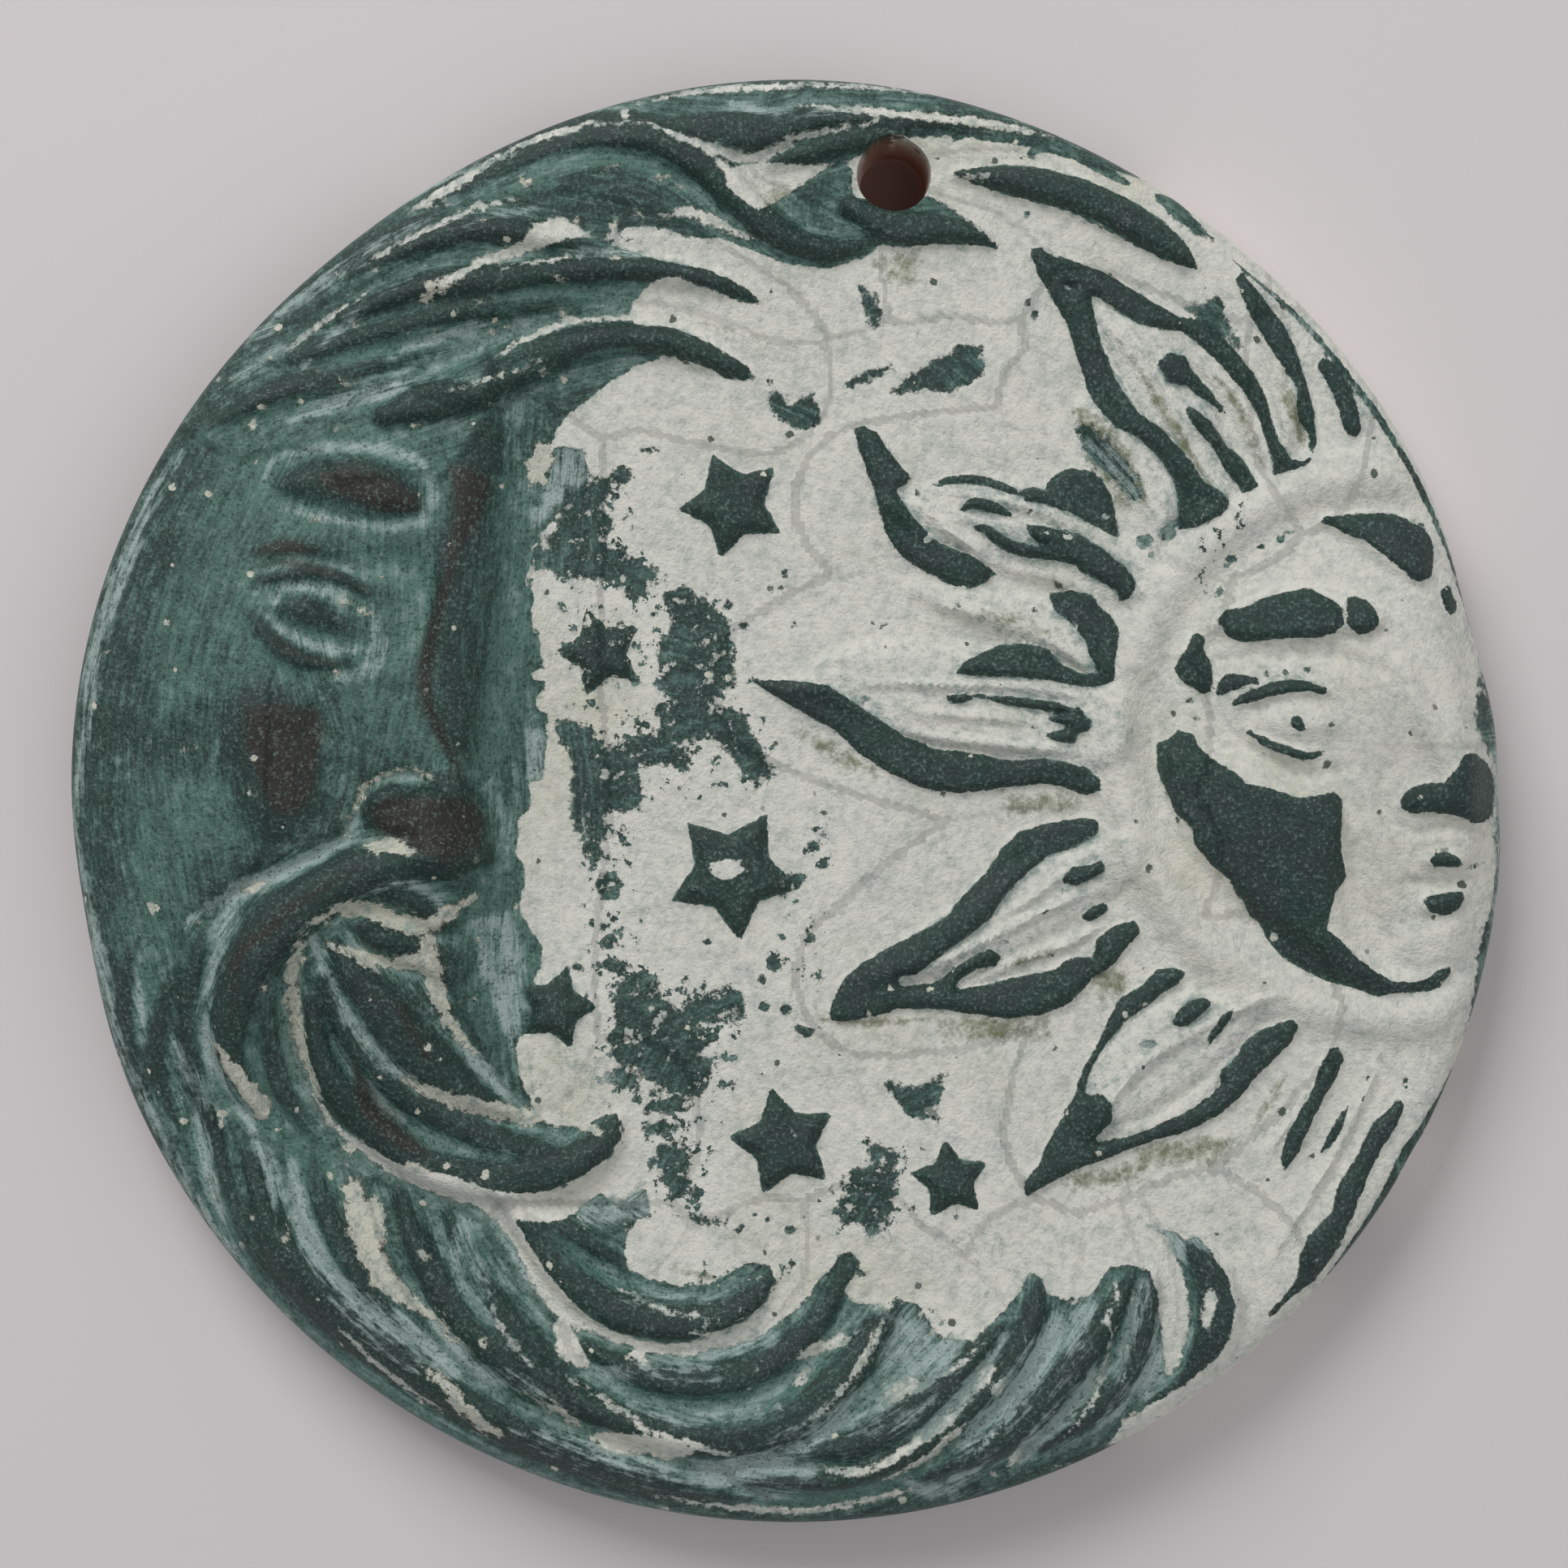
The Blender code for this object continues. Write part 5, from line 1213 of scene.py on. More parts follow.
    mists: Shapes = areas(
        (98, 152, 118, 150, 130, 150, 140, 148, 148, 150, 146, 156, 136, 155, 128, 155, 122, 162, 112, 160,
         104, 154),
        (186, 80, 189, 100, 187, 120, 183, 112, 184, 90),
        (108, 161, 116, 161.4, 116, 168, 108, 168),
        (86, 160, 96, 160, 96, 166, 86, 166.4),
        (156, 82, 164, 82, 167.6, 88, 166, 92, 162, 86, 156, 84.6),
        (179, 77, 183, 78, 184.6, 84, 182, 84),
        (178, 123, 182, 123, 181, 129, 178.4, 128),
        (155, 34, 159, 38, 164, 42, 160, 41, 156, 37.4),
        (154, 142, 156.4, 142, 156, 156, 153, 154),
        (130, 143, 142, 150, 156, 142, 156, 156, 140, 152),
        (154, 36, 164, 44, 171, 54, 166, 50, 158, 42),
        (140, 31, 148, 36, 147, 39, 140, 36),
    )
    glints: Shapes = areas(
        (87, 106.5, 89.5, 105.8, 92.5, 106, 90.5, 106.5, 92.5, 107.2, 89.5, 108.5, 88, 107.8),
    ) + runs(
        (.4, 97.6, 139, 98.2, 140.4),
    )

    def brush(self, paint: Paint) -> None:
        """Lay the wash and let the green break through."""
        paint.pale.lay(self.area, 0.3)
        paint.pale.rub(self.blotches, 0.8)
        paint.pale.rub(self.bits, 0.4)
        paint.pale.lay(self.holes, 0.3)

    def finish(self, paint: Paint) -> None:
        """Touch the stars with a little white and let stains, painted shade below the raised forms and thin
        places show.
        """
        paint.pale.lay(self.glints, 0.25)
        # Painted shade below the raised bands and locks, then real olive lines along the leaves.
        paint.olive_stain_and_shade.dab(self.painted_shade_below_forms, 0.9, 3)
        paint.olive_stain_and_shade.dab(self.veins, 0.9, 0.8)
        paint.crumbs.dab(self.crumbs, 0.8, 3)
        paint.haze.dab(self.mists, 0.6, 3.0)


@dataclass
class Rim:
    """The disc's outline, its rounded edge and the slab under the carving, in millimetres."""

    slab: float = 12.0
    edge_drop: float = 3.0
    edge_breadth: float = 4.2
    swells: tuple[tuple[float, float, float], ...] = (
        (85, 1.0, 22), (128, -0.8, 16), (165, 0.2, 12), (190, -0.8, 9), (292, 0.5, 34), (1, -0.5, 4),
        (15, -1.3, 8),
    )
    side_steps: tuple[tuple[float, float], ...] = (
        (7.2, .22), (5.4, .36), (3.4, .34), (1.6, .1), (.5, -.3), (0, -.9),
    )

    def radius(self, bearing: Array) -> Array:
        """Radius of the rim at each bearing."""
        radius = np.full_like(bearing, DISC_RADIUS)
        for middle, rise, spread in self.swells:
            turn = np.angle(np.exp(1j * (bearing - math.radians(middle))))
            radius += rise * np.exp(-(turn / math.radians(spread)) ** 2)
        return radius

    def from_rim(self, x: Array, y: Array) -> Array:
        """How far inside the rim each place on the sheet lies."""
        bearing = np.arctan2(DISC_MIDDLE[1] - y, x - DISC_MIDDLE[0])
        return self.radius(bearing) - np.hypot(x - DISC_MIDDLE[0], y - DISC_MIDDLE[1])

    def front(self, relief: Array, from_rim: Array) -> Array:
        """Distance of the front from the back plane, with the edge's quarter round."""
        turn_in = 1 - np.clip(from_rim / self.edge_breadth, 0, 1)
        fall = self.edge_drop * (1 - np.sqrt(1 - turn_in ** 2))
        return self.slab + relief * soft_step(from_rim, self.edge_breadth * 1.5) - fall


@dataclass
class Plaque:
    """The whole plaque as one piece of clay."""

    name: str = "clay_plaque"
    cuts: tuple[int, int] = (4, 32)
    sides: int = 6
    brush_reach: float = 9.0
    brush_shift: float = 13.0
    form_blur: float = 0.32
    top_blur: float = 0.14
    crest_reach: float = 2.6
    cover_reach: float = 0.8
    unevenness: tuple[tuple[float, float, int], ...] = ((0.16, 5.0, 3), (0.05, 1.4, 4))
    hole_sides: int = 72
    hole_slack: float = 0.05
    bore_paint_ends: float = 11.4
    bore_fade: float = 7.0
    side_paint_ends: float = 1.6
    side_fade: float = 1.2
    sharp_angle: float = math.radians(58)
    back_rings: tuple[float, ...] = (.93, .80, .64, .46, .28, .12)
    sheet: Sheet = field(default_factory=Sheet)
    rim: Rim = field(default_factory=Rim)
    hair: Hair = field(default_factory=Hair)
    moon: MoonHead = field(default_factory=MoonHead)
    sun: SunHead = field(default_factory=SunHead)
    rays: Rays = field(default_factory=Rays)
    stars: Stars = field(default_factory=Stars)
    ground: Ground = field(default_factory=Ground)

    def relief(self) -> Array:
        """Height of all the carving over the slab on the sheet's grid, in millimetres."""
        sheet = self.sheet
        from_rim = self.rim.from_rim(sheet.x, sheet.y)
        height = self.hair.carve(sheet, from_rim) + self.moon.carve(sheet, from_rim)
        height += self.sun.carve(sheet) + self.rays.carve(sheet)
        tops = self.rays.raise_tops(sheet) + self.sun.raise_tops(sheet) + self.stars.carve(sheet)
        height = sheet.blur(height, self.form_blur) + sheet.blur(tops, self.top_blur)
        for rise, spread, seed in self.unevenness:
            height += rise * sheet.clouds(spread, seed)
        return height

    def lattice(self) -> bpy.types.Object:
        """A flat six-sided fan of even triangles."""
        bpy.ops.object.select_all(action="DESELECT")
        bpy.ops.mesh.primitive_circle_add(vertices=self.sides, radius=1.0, fill_type="TRIFAN")
        piece = bpy.context.object
        piece.name = piece.data.name = self.name
        bpy.ops.object.mode_set(mode="EDIT")
        bpy.ops.mesh.select_all(action="SELECT")
        for cuts in self.cuts:
            bpy.ops.mesh.subdivide(number_cuts=cuts)
        bpy.ops.object.mode_set(mode="OBJECT")
        return piece

    def round_off(self, piece: bpy.types.Object, height: Array) -> None:
        """Turn the six-sided lattice into the disc and raise the carving on it."""
        places = coordinates(piece.data)
        half = math.pi / self.sides
        bearing = np.arctan2(places[:, 1], places[:, 0])
        sector = (bearing + half) % (2 * half) - half
        ring = np.hypot(places[:, 0], places[:, 1]) * np.cos(sector) / math.cos(half)
        bearing = bearing - sector + np.tan(sector) / math.tan(half) * half
        outline = self.rim.radius(bearing)
        radius = ring * outline
        x = DISC_MIDDLE[0] + radius * np.cos(bearing)
        y = DISC_MIDDLE[1] - radius * np.sin(bearing)
        front = self.rim.front(self.sheet.sample(height, x, y), outline - radius)
        hung = bearing + PICTURE_LEAN
        places[:, 0] = radius * np.cos(hung)
        places[:, 1] = -front
        places[:, 2] = radius * np.sin(hung) - HOLE_ABOVE_MIDDLE
        place_vertices(piece.data, places * MM)

    def close_back(self, piece: bpy.types.Object) -> None:
        """Draw the rim back to the wall plane in a few rounded steps and close the back."""
        middle = (0.0, 0.0, -HOLE_ABOVE_MIDDLE * MM)
        bpy.ops.object.mode_set(mode="EDIT")
        bpy.ops.mesh.select_mode(type="EDGE")
        bpy.ops.mesh.select_all(action="SELECT")
        bpy.ops.mesh.region_to_loop()
        depth = self.rim.slab - self.rim.edge_drop
        reach = DISC_RADIUS
        steps = [(left, DISC_RADIUS + out) for left, out in self.rim.side_steps]
        steps += [(0.0, DISC_RADIUS * share) for share in self.back_rings]
        for left, radius in steps:
            back = {"value": (0.0, (depth - left) * MM, 0.0)}
            bpy.ops.mesh.extrude_edges_move(TRANSFORM_OT_translate=back)
            grow = radius / reach
            bpy.ops.transform.resize(value=(grow, 1.0, grow), center_override=middle)
            depth, reach = left, radius
        bpy.ops.mesh.merge(type="CENTER")
        bpy.ops.mesh.select_all(action="SELECT")
        bpy.ops.mesh.normals_make_consistent(inside=False)
        bpy.ops.object.mode_set(mode="OBJECT")

    def pierce(self, piece: bpy.types.Object) -> None:
        """Push the tapered nail hole through the clay."""
        past = self.rim.slab
        taper = (HOLE_FRONT_RADIUS - HOLE_BACK_RADIUS) / self.rim.slab
        bpy.ops.object.select_all(action="DESELECT")
        bpy.ops.mesh.primitive_cone_add(
            vertices=self.hole_sides,
            radius1=(HOLE_FRONT_RADIUS + taper * past) * MM,
            radius2=(HOLE_BACK_RADIUS - taper * past) * MM,
            depth=(self.rim.slab + 2 * past) * MM,
            location=(0.0, -self.rim.slab / 2 * MM, 0.0),
            rotation=(-math.pi / 2, 0.0, 0.0),
        )
        peg = bpy.context.object
        cut = piece.modifiers.new("nail_hole", "BOOLEAN")
        cut.operation = "DIFFERENCE"
        cut.solver = "EXACT"
        cut.object = peg
        bpy.ops.object.select_all(action="DESELECT")
        bpy.context.view_layer.objects.active = piece
        piece.select_set(True)
        bpy.ops.object.modifier_apply(modifier=cut.name)
        bpy.data.objects.remove(peg, do_unlink=True)

    def paint(self, height: Array) -> dict[str, Array]:
        """Fields that the finish reads, on the sheet's grid."""
        coats = Paint(self.sheet)
        self.ground.brush(coats)
        for head in (self.rays, self.sun, self.stars, self.hair, self.moon):
            head.brush(coats)
        self.ground.finish(coats)
        across, along = self.flow()
        crest = height - self.sheet.blur(height, self.crest_reach)
        return {
            "pale": coats.pale.field,
            "cream": coats.cream.field,
            "teal": coats.teal.field,
            "haze": coats.haze.field,
            "worn": coats.worn.field,
            "olive_stain_and_shade": coats.olive_stain_and_shade.field,
            "crumbs": coats.crumbs.field,
            "crest": crest,
            "cover": self.sheet.blur((coats.pale.field > 0) * 1.0, self.cover_reach),
            "bare": 1 - coats.polish.field,
            "across": across,
            "along": along,
        }

    def flow(self) -> tuple[Array, Array]:
        """Distance across and along the nearest lock, for brush marks that follow the hair."""
        off_x, off_y = self.sheet.x - SUN_MIDDLE[0], self.sheet.y - SUN_MIDDLE[1]
        across, along = np.arctan2(off_y, -off_x) * self.sun.hood_radius, np.hypot(off_x, off_y)
        best = self.sheet.blank(-self.brush_reach)
        locks = self.hair.top + self.hair.foot + self.moon.beard + self.moon.drift + self.rays.leaves
        for number, lock in enumerate(locks):
            depth, _, off, run = lock.follow(self.sheet.x, self.sheet.y)
            nearer = depth > best
            best = np.where(nearer, depth, best)
            across = np.where(nearer, off + self.brush_shift * number, across)
            along = np.where(nearer, run, along)
        return across, along

    def mark(self, piece: bpy.types.Object, fields: dict[str, Array]) -> None:
        """Hand the fields to the mesh as attributes of its points."""
        mesh = piece.data
        places = coordinates(mesh) / MM
        east, north = places[:, 0], places[:, 2] + HOLE_ABOVE_MIDDLE
        turn_x = east * math.cos(PICTURE_LEAN) + north * math.sin(PICTURE_LEAN)
        turn_y = north * math.cos(PICTURE_LEAN) - east * math.sin(PICTURE_LEAN)
        x, y = DISC_MIDDLE[0] + turn_x, DISC_MIDDLE[1] - turn_y
        for name, values in fields.items():
            attribute = mesh.attributes.new(name, "FLOAT", "POINT")
            attribute.data.foreach_set("value", self.sheet.sample(values, x, y).astype(np.float32))
        deep = places[:, 1] + self.bore_paint_ends
        in_hole = (np.hypot(east, places[:, 2]) < HOLE_FRONT_RADIUS + self.hole_slack) & (deep > 0)
        raw = np.maximum(soft_step(places[:, 1] + self.side_paint_ends, self.side_fade), in_hole * 1.0)
        # Painted light: the clay inside the nail hole turns lighter toward its back, to lift the shade there.
        bore_painted_light = in_hole * soft_step(deep, self.bore_fade)
        for name, values in (("raw", raw), ("bore_painted_light", bore_painted_light)):
            attribute = mesh.attributes.new(name, "FLOAT", "POINT")
            attribute.data.foreach_set("value", values.astype(np.float32))

    def build(self) -> bpy.types.Object:
        """Model and mark the plaque.

        Returns:
            The finished piece, without its material.
        """
        height = self.relief()
        piece = self.lattice()
        self.round_off(piece, height)
        self.close_back(piece)
        self.pierce(piece)
        self.mark(piece, self.paint(height))
        piece.data.shade_smooth()
        piece.data.set_sharp_from_angle(angle=self.sharp_angle)
        return piece


def coordinates(mesh: bpy.types.Mesh) -> Array:
    """Places of a mesh's vertices as rows."""
    flat = np.empty(len(mesh.vertices) * 3)
    mesh.vertices.foreach_get("co", flat)
    return flat.reshape(-1, 3)


def place_vertices(mesh: bpy.types.Mesh, places: Array) -> None:
    """Move a mesh's vertices to the given rows."""
    mesh.vertices.foreach_set("co", places.ravel())
    mesh.update()


class Wire:
    """A shader socket that arithmetic can be written with."""

    def __init__(self, graph: "Graph", socket: bpy.types.NodeSocket) -> None:
        """Wrap one output socket."""
        self.graph = graph
        self.socket = socket

    def __add__(self, other: "Wire | float") -> "Wire":
        """Sum."""
        return self.graph.math("ADD", self, other)

    __radd__ = __add__

    def __sub__(self, other: "Wire | float") -> "Wire":
        """Difference."""
        return self.graph.math("SUBTRACT", self, other)

    def __rsub__(self, other: float) -> "Wire":
        """Difference from a number."""
        return self.graph.math("SUBTRACT", other, self)

    def __mul__(self, other: "Wire | float") -> "Wire":
        """Product."""
        return self.graph.math("MULTIPLY", self, other)

    __rmul__ = __mul__

    def __pow__(self, other: float) -> "Wire":
        """Power."""
        return self.graph.math("POWER", self, other)

    def most(self, other: "Wire | float") -> "Wire":
        """The larger of two values."""
        return self.graph.math("MAXIMUM", self, other)

    def step(self, low: float, high: float) -> "Wire":
        """Climb smoothly from 0 at low to 1 at high."""
        settings = {"interpolation_type": "SMOOTHSTEP"}
        values = {"Value": self, "From Min": low, "From Max": high}
        return self.graph.add("ShaderNodeMapRange", settings, values)["Result"]


class Outputs:
    """Output sockets of one node, by name."""

    def __init__(self, graph: "Graph", node: bpy.types.Node) -> None:
        """Keep the node."""
        self.graph = graph
        self.node = node

    def __getitem__(self, key: str | int) -> Wire:
        """One output as a wire."""
        return Wire(self.graph, self.node.outputs[key])


class Graph:
    """Node tree of one material."""

    def __init__(self, name: str) -> None:
        """Start an empty material."""
        self.material = bpy.data.materials.new(name)
        self.material.use_nodes = True
        self.tree = self.material.node_tree
        self.tree.nodes.clear()

    def add(self, kind: str, settings: dict | None = None, values: dict | None = None) -> Outputs:
        """Add a node.

        Args:
            kind: the node's type.
            settings: its own options, set first.
            values: a value or a wire for each input, by name or number.

        Returns:
            The node's outputs.
        """
        node = self.tree.nodes.new(kind)
        for name, value in (settings or {}).items():
            setattr(node, name, value)
        for key, value in (values or {}).items():
            if isinstance(value, Wire):
                self.tree.links.new(value.socket, node.inputs[key])
            else:
                node.inputs[key].default_value = value
        return Outputs(self, node)

    def math(self, operation: str, *values: "Wire | float") -> Wire:
        """Arithmetic on numbers."""
        return self.add("ShaderNodeMath", {"operation": operation}, dict(enumerate(values)))[0]

    def attribute(self, name: str) -> Wire:
        """A number that the mesh carries."""
        return self.add("ShaderNodeAttribute", {"attribute_name": name})["Fac"]

    def noise(self, place: Wire, scale: float, detail: float, rough: float) -> Wire:
        """Noise of about -1 to 1."""
        values = {"Vector": place, "Scale": scale, "Detail": detail, "Roughness": rough}
        return (self.add("ShaderNodeTexNoise", {}, values)["Fac"] - 0.5) * 3.2

    def mix(self, share: Wire, under: "Wire | Colour", over: "Wire | Colour") -> Wire:
        """Blend two colours."""
        settings = {"data_type": "RGBA"}
        return self.add("ShaderNodeMix", settings, {0: share, 6: under, 7: over})[2]


Colour = tuple[float, float, float, float]


def seen(red: int, green: int, blue: int) -> Colour:
    """Surface colour that looks like the given screen colour under the studio's light."""
    levels = [channel / 255 for channel in (red, green, blue)]
    linear = [((v + 0.055) / 1.055) ** 2.4 if v > 0.04045 else v / 12.92 for v in levels]
    return (*[min(v / STUDIO_LIGHT, 0.95) for v in linear], 1.0)


@dataclass(frozen=True)
class PaintedClay:
    """Worn matt paint in several coats over unglazed clay."""

    name: str = "painted_clay"
    green: Colour = seen(29, 55, 47)
    slate: Colour = seen(36, 50, 48)
    night: Colour = seen(18, 30, 28)
    dust: Colour = seen(112, 132, 125)
    teal: Colour = seen(73, 107, 97)
    mist: Colour = seen(150, 166, 162)
    brown: Colour = seen(38, 35, 29)
    white: Colour = seen(204, 203, 194)
    shade: Colour = seen(158, 165, 158)
    sallow: Colour = seen(178, 177, 156)
    thin: Colour = seen(118, 137, 132)
    # Olive of the real leaf lines, also used for the painted shade below the raised forms.
    olive: Colour = seen(104, 108, 80)
    cream: Colour = seen(188, 187, 173)
    pit: Colour = seen(84, 92, 84)
    clay: Colour = seen(128, 98, 85)
    # Painted light: a colour lighter than the clay, laid deep in the nail hole to lift its shade.
    bore_painted_light: Colour = seen(150, 108, 94)
    ragged_scale: float = 850.0
    fine_scale: float = 950.0
    grain_scale: float = 2200.0
    mottle_scale: float = 600.0
    cloud_scale: float = 170.0
    wide_scale: float = 45.0
    dot_scale: float = 420.0
    streaks_across: float = 1.4
    streaks_along: float = 0.14
    bump_depth: float = 0.00016

    def greens(self, graph: Graph, streak: Wire, grain: Wire, mottle: Wire, cloud: Wire) -> Wire:
        """Colour of the green side with its brush marks."""
        crest, teal, worn = (graph.attribute(name) for name in ("crest", "teal", "worn"))
        haze, bare = graph.attribute("haze"), graph.attribute("bare")
        colour = graph.mix((cloud + mottle * 0.4).step(-0.7, 0.9), self.green, self.slate)
        low = teal * 0.9 + haze * 0.6 - crest * 1.1 + streak * 1.1 + mottle * 0.4 + cloud * 0.3 + 0.42
        colour = graph.mix((low * bare).step(0.1, 1.6), colour, self.teal)
        misted = (haze * 1.2 + streak * (haze + 0.8) - crest * 0.7 + mottle * 0.7 + 0.25) * bare
        colour = graph.mix(misted.step(0.45, 1.9), colour, self.mist)
        rubbed = (worn * 1.1 + mottle * 0.4 + streak * 0.2 - 0.2).step(0.0, 1.0) * worn
        colour = graph.mix(rubbed, colour, self.brown)
        colour = graph.mix((grain * 1.8 + mottle * 0.4).step(0.1, 1.3) * 0.5, colour, self.dust)
        return graph.mix((0.0 - grain * 1.8 - mottle * 0.6).step(0.2, 1.2) * 0.7, colour, self.night)

    def whites(self, graph: Graph, streak: Wire, fine: Wire, mottle: Wire, cloud: Wire, wide: Wire) -> Wire:
        """Colour of the chalky wash with its stains, painted shade below the raised forms and thin places."""
        colour = graph.mix((cloud * 0.6 + mottle * 0.7 + fine * 1.2).step(-0.8, 1.7), self.white, self.shade)
        colour = graph.mix((wide + mottle * 0.4).step(0.0, 1.2) * 0.75, colour, self.sallow)
        cover, haze = graph.attribute("cover"), graph.attribute("haze")
        thin = (1 - cover) * 1.7 + haze * (streak * 1.1 + 0.9) + mottle * 0.6 + fine * 0.6
        colour = graph.mix(thin.step(0.6, 2.1) * 0.95, colour, self.thin)
        # olive: real stains along the leaves and painted shade below the raised forms
        olive_stain_and_shade = (graph.attribute("olive_stain_and_shade") * 1.1 + fine * 0.4 + mottle * 0.5).step(0.3, 1.4)
        return graph.mix(olive_stain_and_shade * 0.95, colour, self.olive)

    def make(self) -> bpy.types.Material:
        """Build the node tree."""
        graph = Graph(self.name)
        place = graph.add("ShaderNodeTexCoord")["Object"]
        ragged = graph.noise(place, self.ragged_scale, 4, 0.7)
        fine = graph.noise(place, self.fine_scale, 3, 0.75)
        grain = graph.noise(place, self.grain_scale, 2, 0.7)
        mottle = graph.noise(place, self.mottle_scale, 4, 0.65)
        cloud = graph.noise(place, self.cloud_scale, 4, 0.6)
        wide = graph.noise(place, self.wide_scale, 3, 0.55)
        across, along = graph.attribute("across"), graph.attribute("along")
        stretched = {0: across * self.streaks_across, 1: along * self.streaks_along}
        brushed = graph.add("ShaderNodeCombineXYZ", {}, stretched)["Vector"]
        streak = graph.noise(brushed, 1.0, 4, 0.75)
        crumbled = graph.attribute("crumbs") * (mottle + fine * 0.3).step(0.1, 0.5) * 5.0
        wander = ragged * 1.3 + mottle * 0.4
        flecks = graph.attribute("crumbs") * (0.0 - mottle - fine * 0.5).step(0.3, 0.5)
        pale = (graph.attribute("pale") + wander - crumbled).step(-0.3, 0.3).most(flecks)
        cream = (graph.attribute("cream") + wander * 1.3 + mottle * 1.1 + streak * 0.9 - 0.35).step(-0.3, 0.5)
        greens = self.greens(graph, streak, grain, mottle, cloud)
        whites = self.whites(graph, streak, fine, mottle, cloud, wide)
        cells = {"Vector": place, "Scale": self.dot_scale, "Randomness": 1.0}
        dots = graph.add("ShaderNodeTexVoronoi", {}, cells)
        luck = graph.add("ShaderNodeSeparateXYZ", {}, {0: dots["Color"]})
        size = luck[0] ** 5 * 0.27
        dot = (size - dots["Distance"] + ragged * 0.2 + mottle * 0.08).step(0.0, 0.05)
        crust = graph.mix((fine + mottle * 0.8).step(-0.2, 0.9) * 0.8, self.cream, self.thin)
        colour = graph.mix((cream * 0.95).most(dot * luck[1].step(0.45, 0.5)), greens, crust)
        whites = graph.mix(dot * luck[2].step(0.5, 0.55), whites, self.pit)
        colour = graph.mix(pale, colour, whites)
        colour = graph.mix(graph.attribute("raw"), colour, self.clay)
        # painted light deep inside the nail hole
        colour = graph.mix(graph.attribute("bore_painted_light"), colour, self.bore_painted_light)
        painted = 1 - graph.attribute("raw").most(graph.attribute("bore_painted_light"))
        coat = fine * 0.5 + mottle * 0.3 + streak * 0.3 + pale.most(cream) * 1.2 - dot * 0.8
        relief = grain * 0.5 + mottle * 0.3 + coat * painted
        bump = {"Strength": 0.8, "Distance": self.bump_depth, "Height": relief}
        normal = graph.add("ShaderNodeBump", {}, bump)
        shader = graph.add("ShaderNodeBsdfPrincipled", {}, {
            "Base Color": colour,
            "Roughness": pale.most(1 - painted) * 0.3 + 0.58,
            "Normal": normal["Normal"],
        })
        graph.add("ShaderNodeOutputMaterial", {}, {"Surface": shader["BSDF"]})
        return graph.material


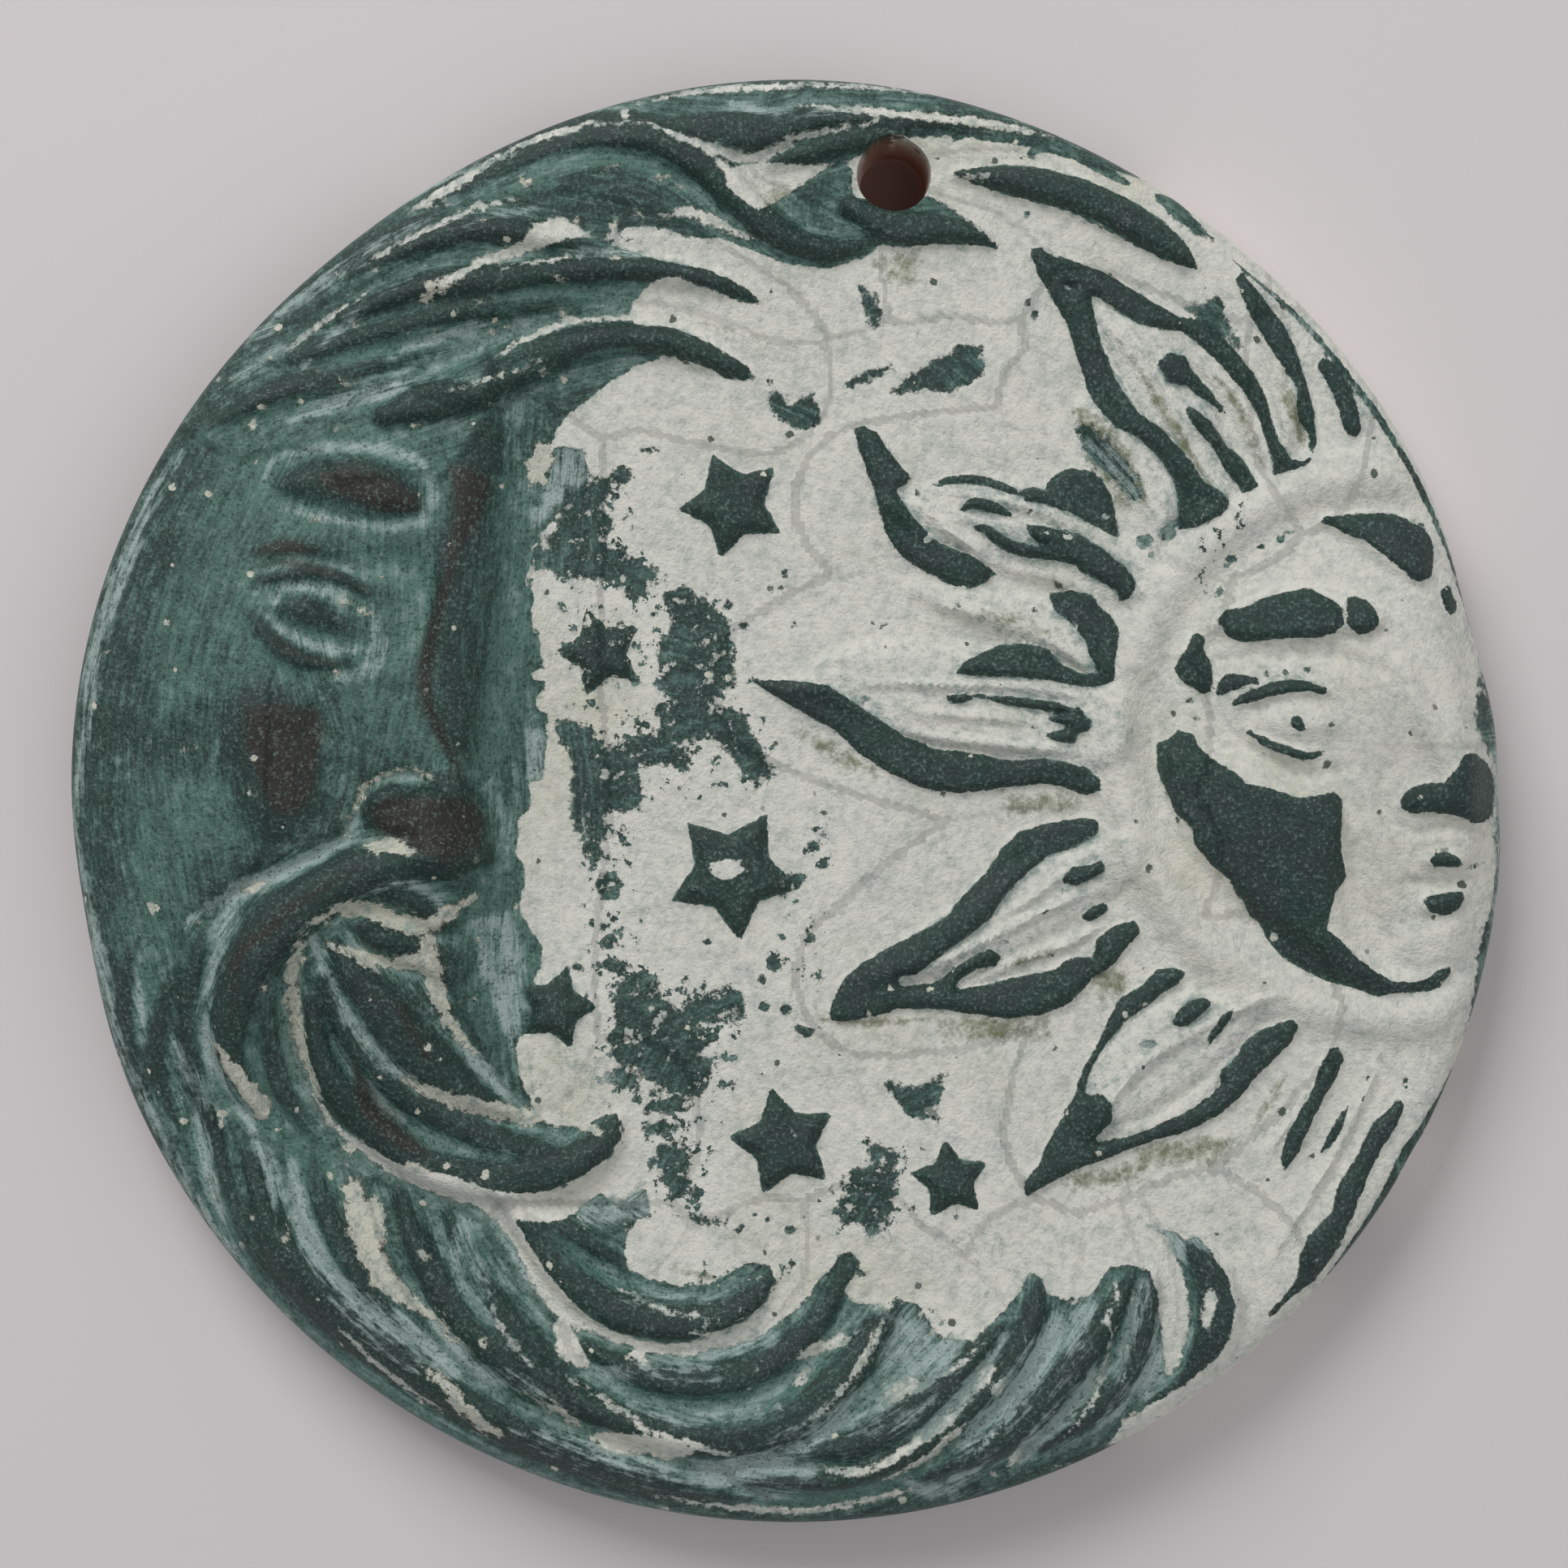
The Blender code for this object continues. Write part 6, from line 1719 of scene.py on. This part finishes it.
@dataclass
class Studio:
    """Pale wall, soft lights and the camera."""

    frame_width: float = 0.1932
    lens: float = 85.0
    sensor: float = 36.0
    sheet_aim: Point = (96.6, 96.6)
    wall_size: float = 6.0
    wall_gap: float = 0.0006
    hole_up: float = HOLE_ABOVE_MIDDLE * MM
    # Painted shade: a darker patch on the wall right behind the nail hole, so the hole looks into shade.
    painted_hole_shade_edge: tuple[float, float] = (0.0055, 0.0085)
    painted_hole_shade: Colour = seen(120, 98, 92)
    paper: Colour = seen(200, 194, 194)
    daylight: Colour = (0.9, 0.92, 0.95, 1.0)
    daylight_strength: float = 0.265
    relief_room: float = 0.012
    lamps: tuple[tuple[str, tuple[float, float, float], float, float], ...] = (
        ("window", (-0.7, -1.0, 0.85), 0.8, 12.6),
        ("room", (0.8, -1.3, -0.3), 1.6, 4.8),
        ("behind", (0.6, 1.3, 0.6), 1.2, 9.0),
    )

    def add_wall(self) -> None:
        """A wall behind the plaque that shows only from the front."""
        bpy.ops.object.select_all(action="DESELECT")
        bpy.ops.mesh.primitive_plane_add(
            size=self.wall_size,
            location=(0.0, self.wall_gap, -HOLE_ABOVE_MIDDLE * MM),
            rotation=(math.pi / 2, 0.0, 0.0),
        )
        wall = bpy.context.object
        wall.name = "wall"
        graph = Graph("pale_wall")
        behind = graph.add("ShaderNodeNewGeometry")["Backfacing"]
        shadow = graph.add("ShaderNodeLightPath")["Is Shadow Ray"]
        place = graph.add("ShaderNodeTexCoord")["Object"]
        hole = {0: place, 1: (0.0, self.hole_up, 0.0)}
        away = graph.add("ShaderNodeVectorMath", {"operation": "DISTANCE"}, hole)["Value"]
        # painted shade behind the nail hole, fading out to the even paper colour
        tone = graph.mix(away.step(*self.painted_hole_shade_edge), self.painted_hole_shade, self.paper)
        paper = graph.add("ShaderNodeBsdfPrincipled", {}, {"Base Color": tone, "Roughness": 0.9})
        clear = graph.add("ShaderNodeBsdfTransparent")
        sides = {0: behind.most(shadow), 1: paper["BSDF"], 2: clear["BSDF"]}
        either = graph.add("ShaderNodeMixShader", {}, sides)
        graph.add("ShaderNodeOutputMaterial", {}, {"Surface": either["Shader"]})
        wall.data.materials.append(graph.material)

    def add_light(self, name: str, place: tuple[float, ...], size: float, power: float) -> None:
        """A soft square lamp that points at the plaque's middle."""
        bpy.ops.object.light_add(type="AREA", location=place)
        lamp = bpy.context.object
        lamp.name = name
        lamp.data.size = size
        lamp.data.energy = power
        aim = np.array((0.0, 0.0, -HOLE_ABOVE_MIDDLE * MM)) - np.array(place)
        lamp.rotation_euler = direction(aim)

    def light(self) -> None:
        """Soft daylight from the front, a little from the upper left, and a weak one behind."""
        for lamp in self.lamps:
            self.add_light(*lamp)
        world = bpy.data.worlds.new("pale_room")
        bpy.context.scene.world = world
        world.use_nodes = True
        world.node_tree.nodes["Background"].inputs["Color"].default_value = self.daylight
        world.node_tree.nodes["Background"].inputs["Strength"].default_value = self.daylight_strength

    def add_camera(self) -> None:
        """A camera straight in front, turned with the picture."""
        distance = self.frame_width * self.lens / self.sensor
        away = (self.sheet_aim[0] - DISC_MIDDLE[0], DISC_MIDDLE[1] - self.sheet_aim[1])
        lean = PICTURE_LEAN
        east = away[0] * math.cos(lean) - away[1] * math.sin(lean)
        north = away[0] * math.sin(lean) + away[1] * math.cos(lean) - HOLE_ABOVE_MIDDLE
        bpy.ops.object.camera_add(location=(east * MM, -distance - self.relief_room, north * MM),
                                  rotation=(math.pi / 2, -lean, 0.0))
        camera = bpy.context.object
        camera.data.lens = self.lens
        camera.data.sensor_width = self.sensor
        bpy.context.scene.camera = camera

    def build(self) -> None:
        """Set everything up."""
        bpy.context.scene.view_settings.view_transform = "Standard"
        self.add_wall()
        self.light()
        self.add_camera()


def direction(aim: Array) -> tuple[float, float, float]:
    """Rotation that points a lamp along a direction."""
    flat = math.hypot(aim[0], aim[1])
    return (math.atan2(flat, -aim[2]), 0.0, math.atan2(-aim[0], aim[1]))


def main() -> None:
    """Build the plaque and its studio."""
    plaque = Plaque().build()
    log.info("%s: %d faces", plaque.name, len(plaque.data.polygons))
    plaque.data.materials.clear()
    plaque.data.materials.append(PaintedClay().make())
    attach(plaque, "root")
    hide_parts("plaque")
    Studio().build()
    log.info("studio ready")


if __name__ == "__main__":
    logging.basicConfig(level=logging.INFO)
    main()
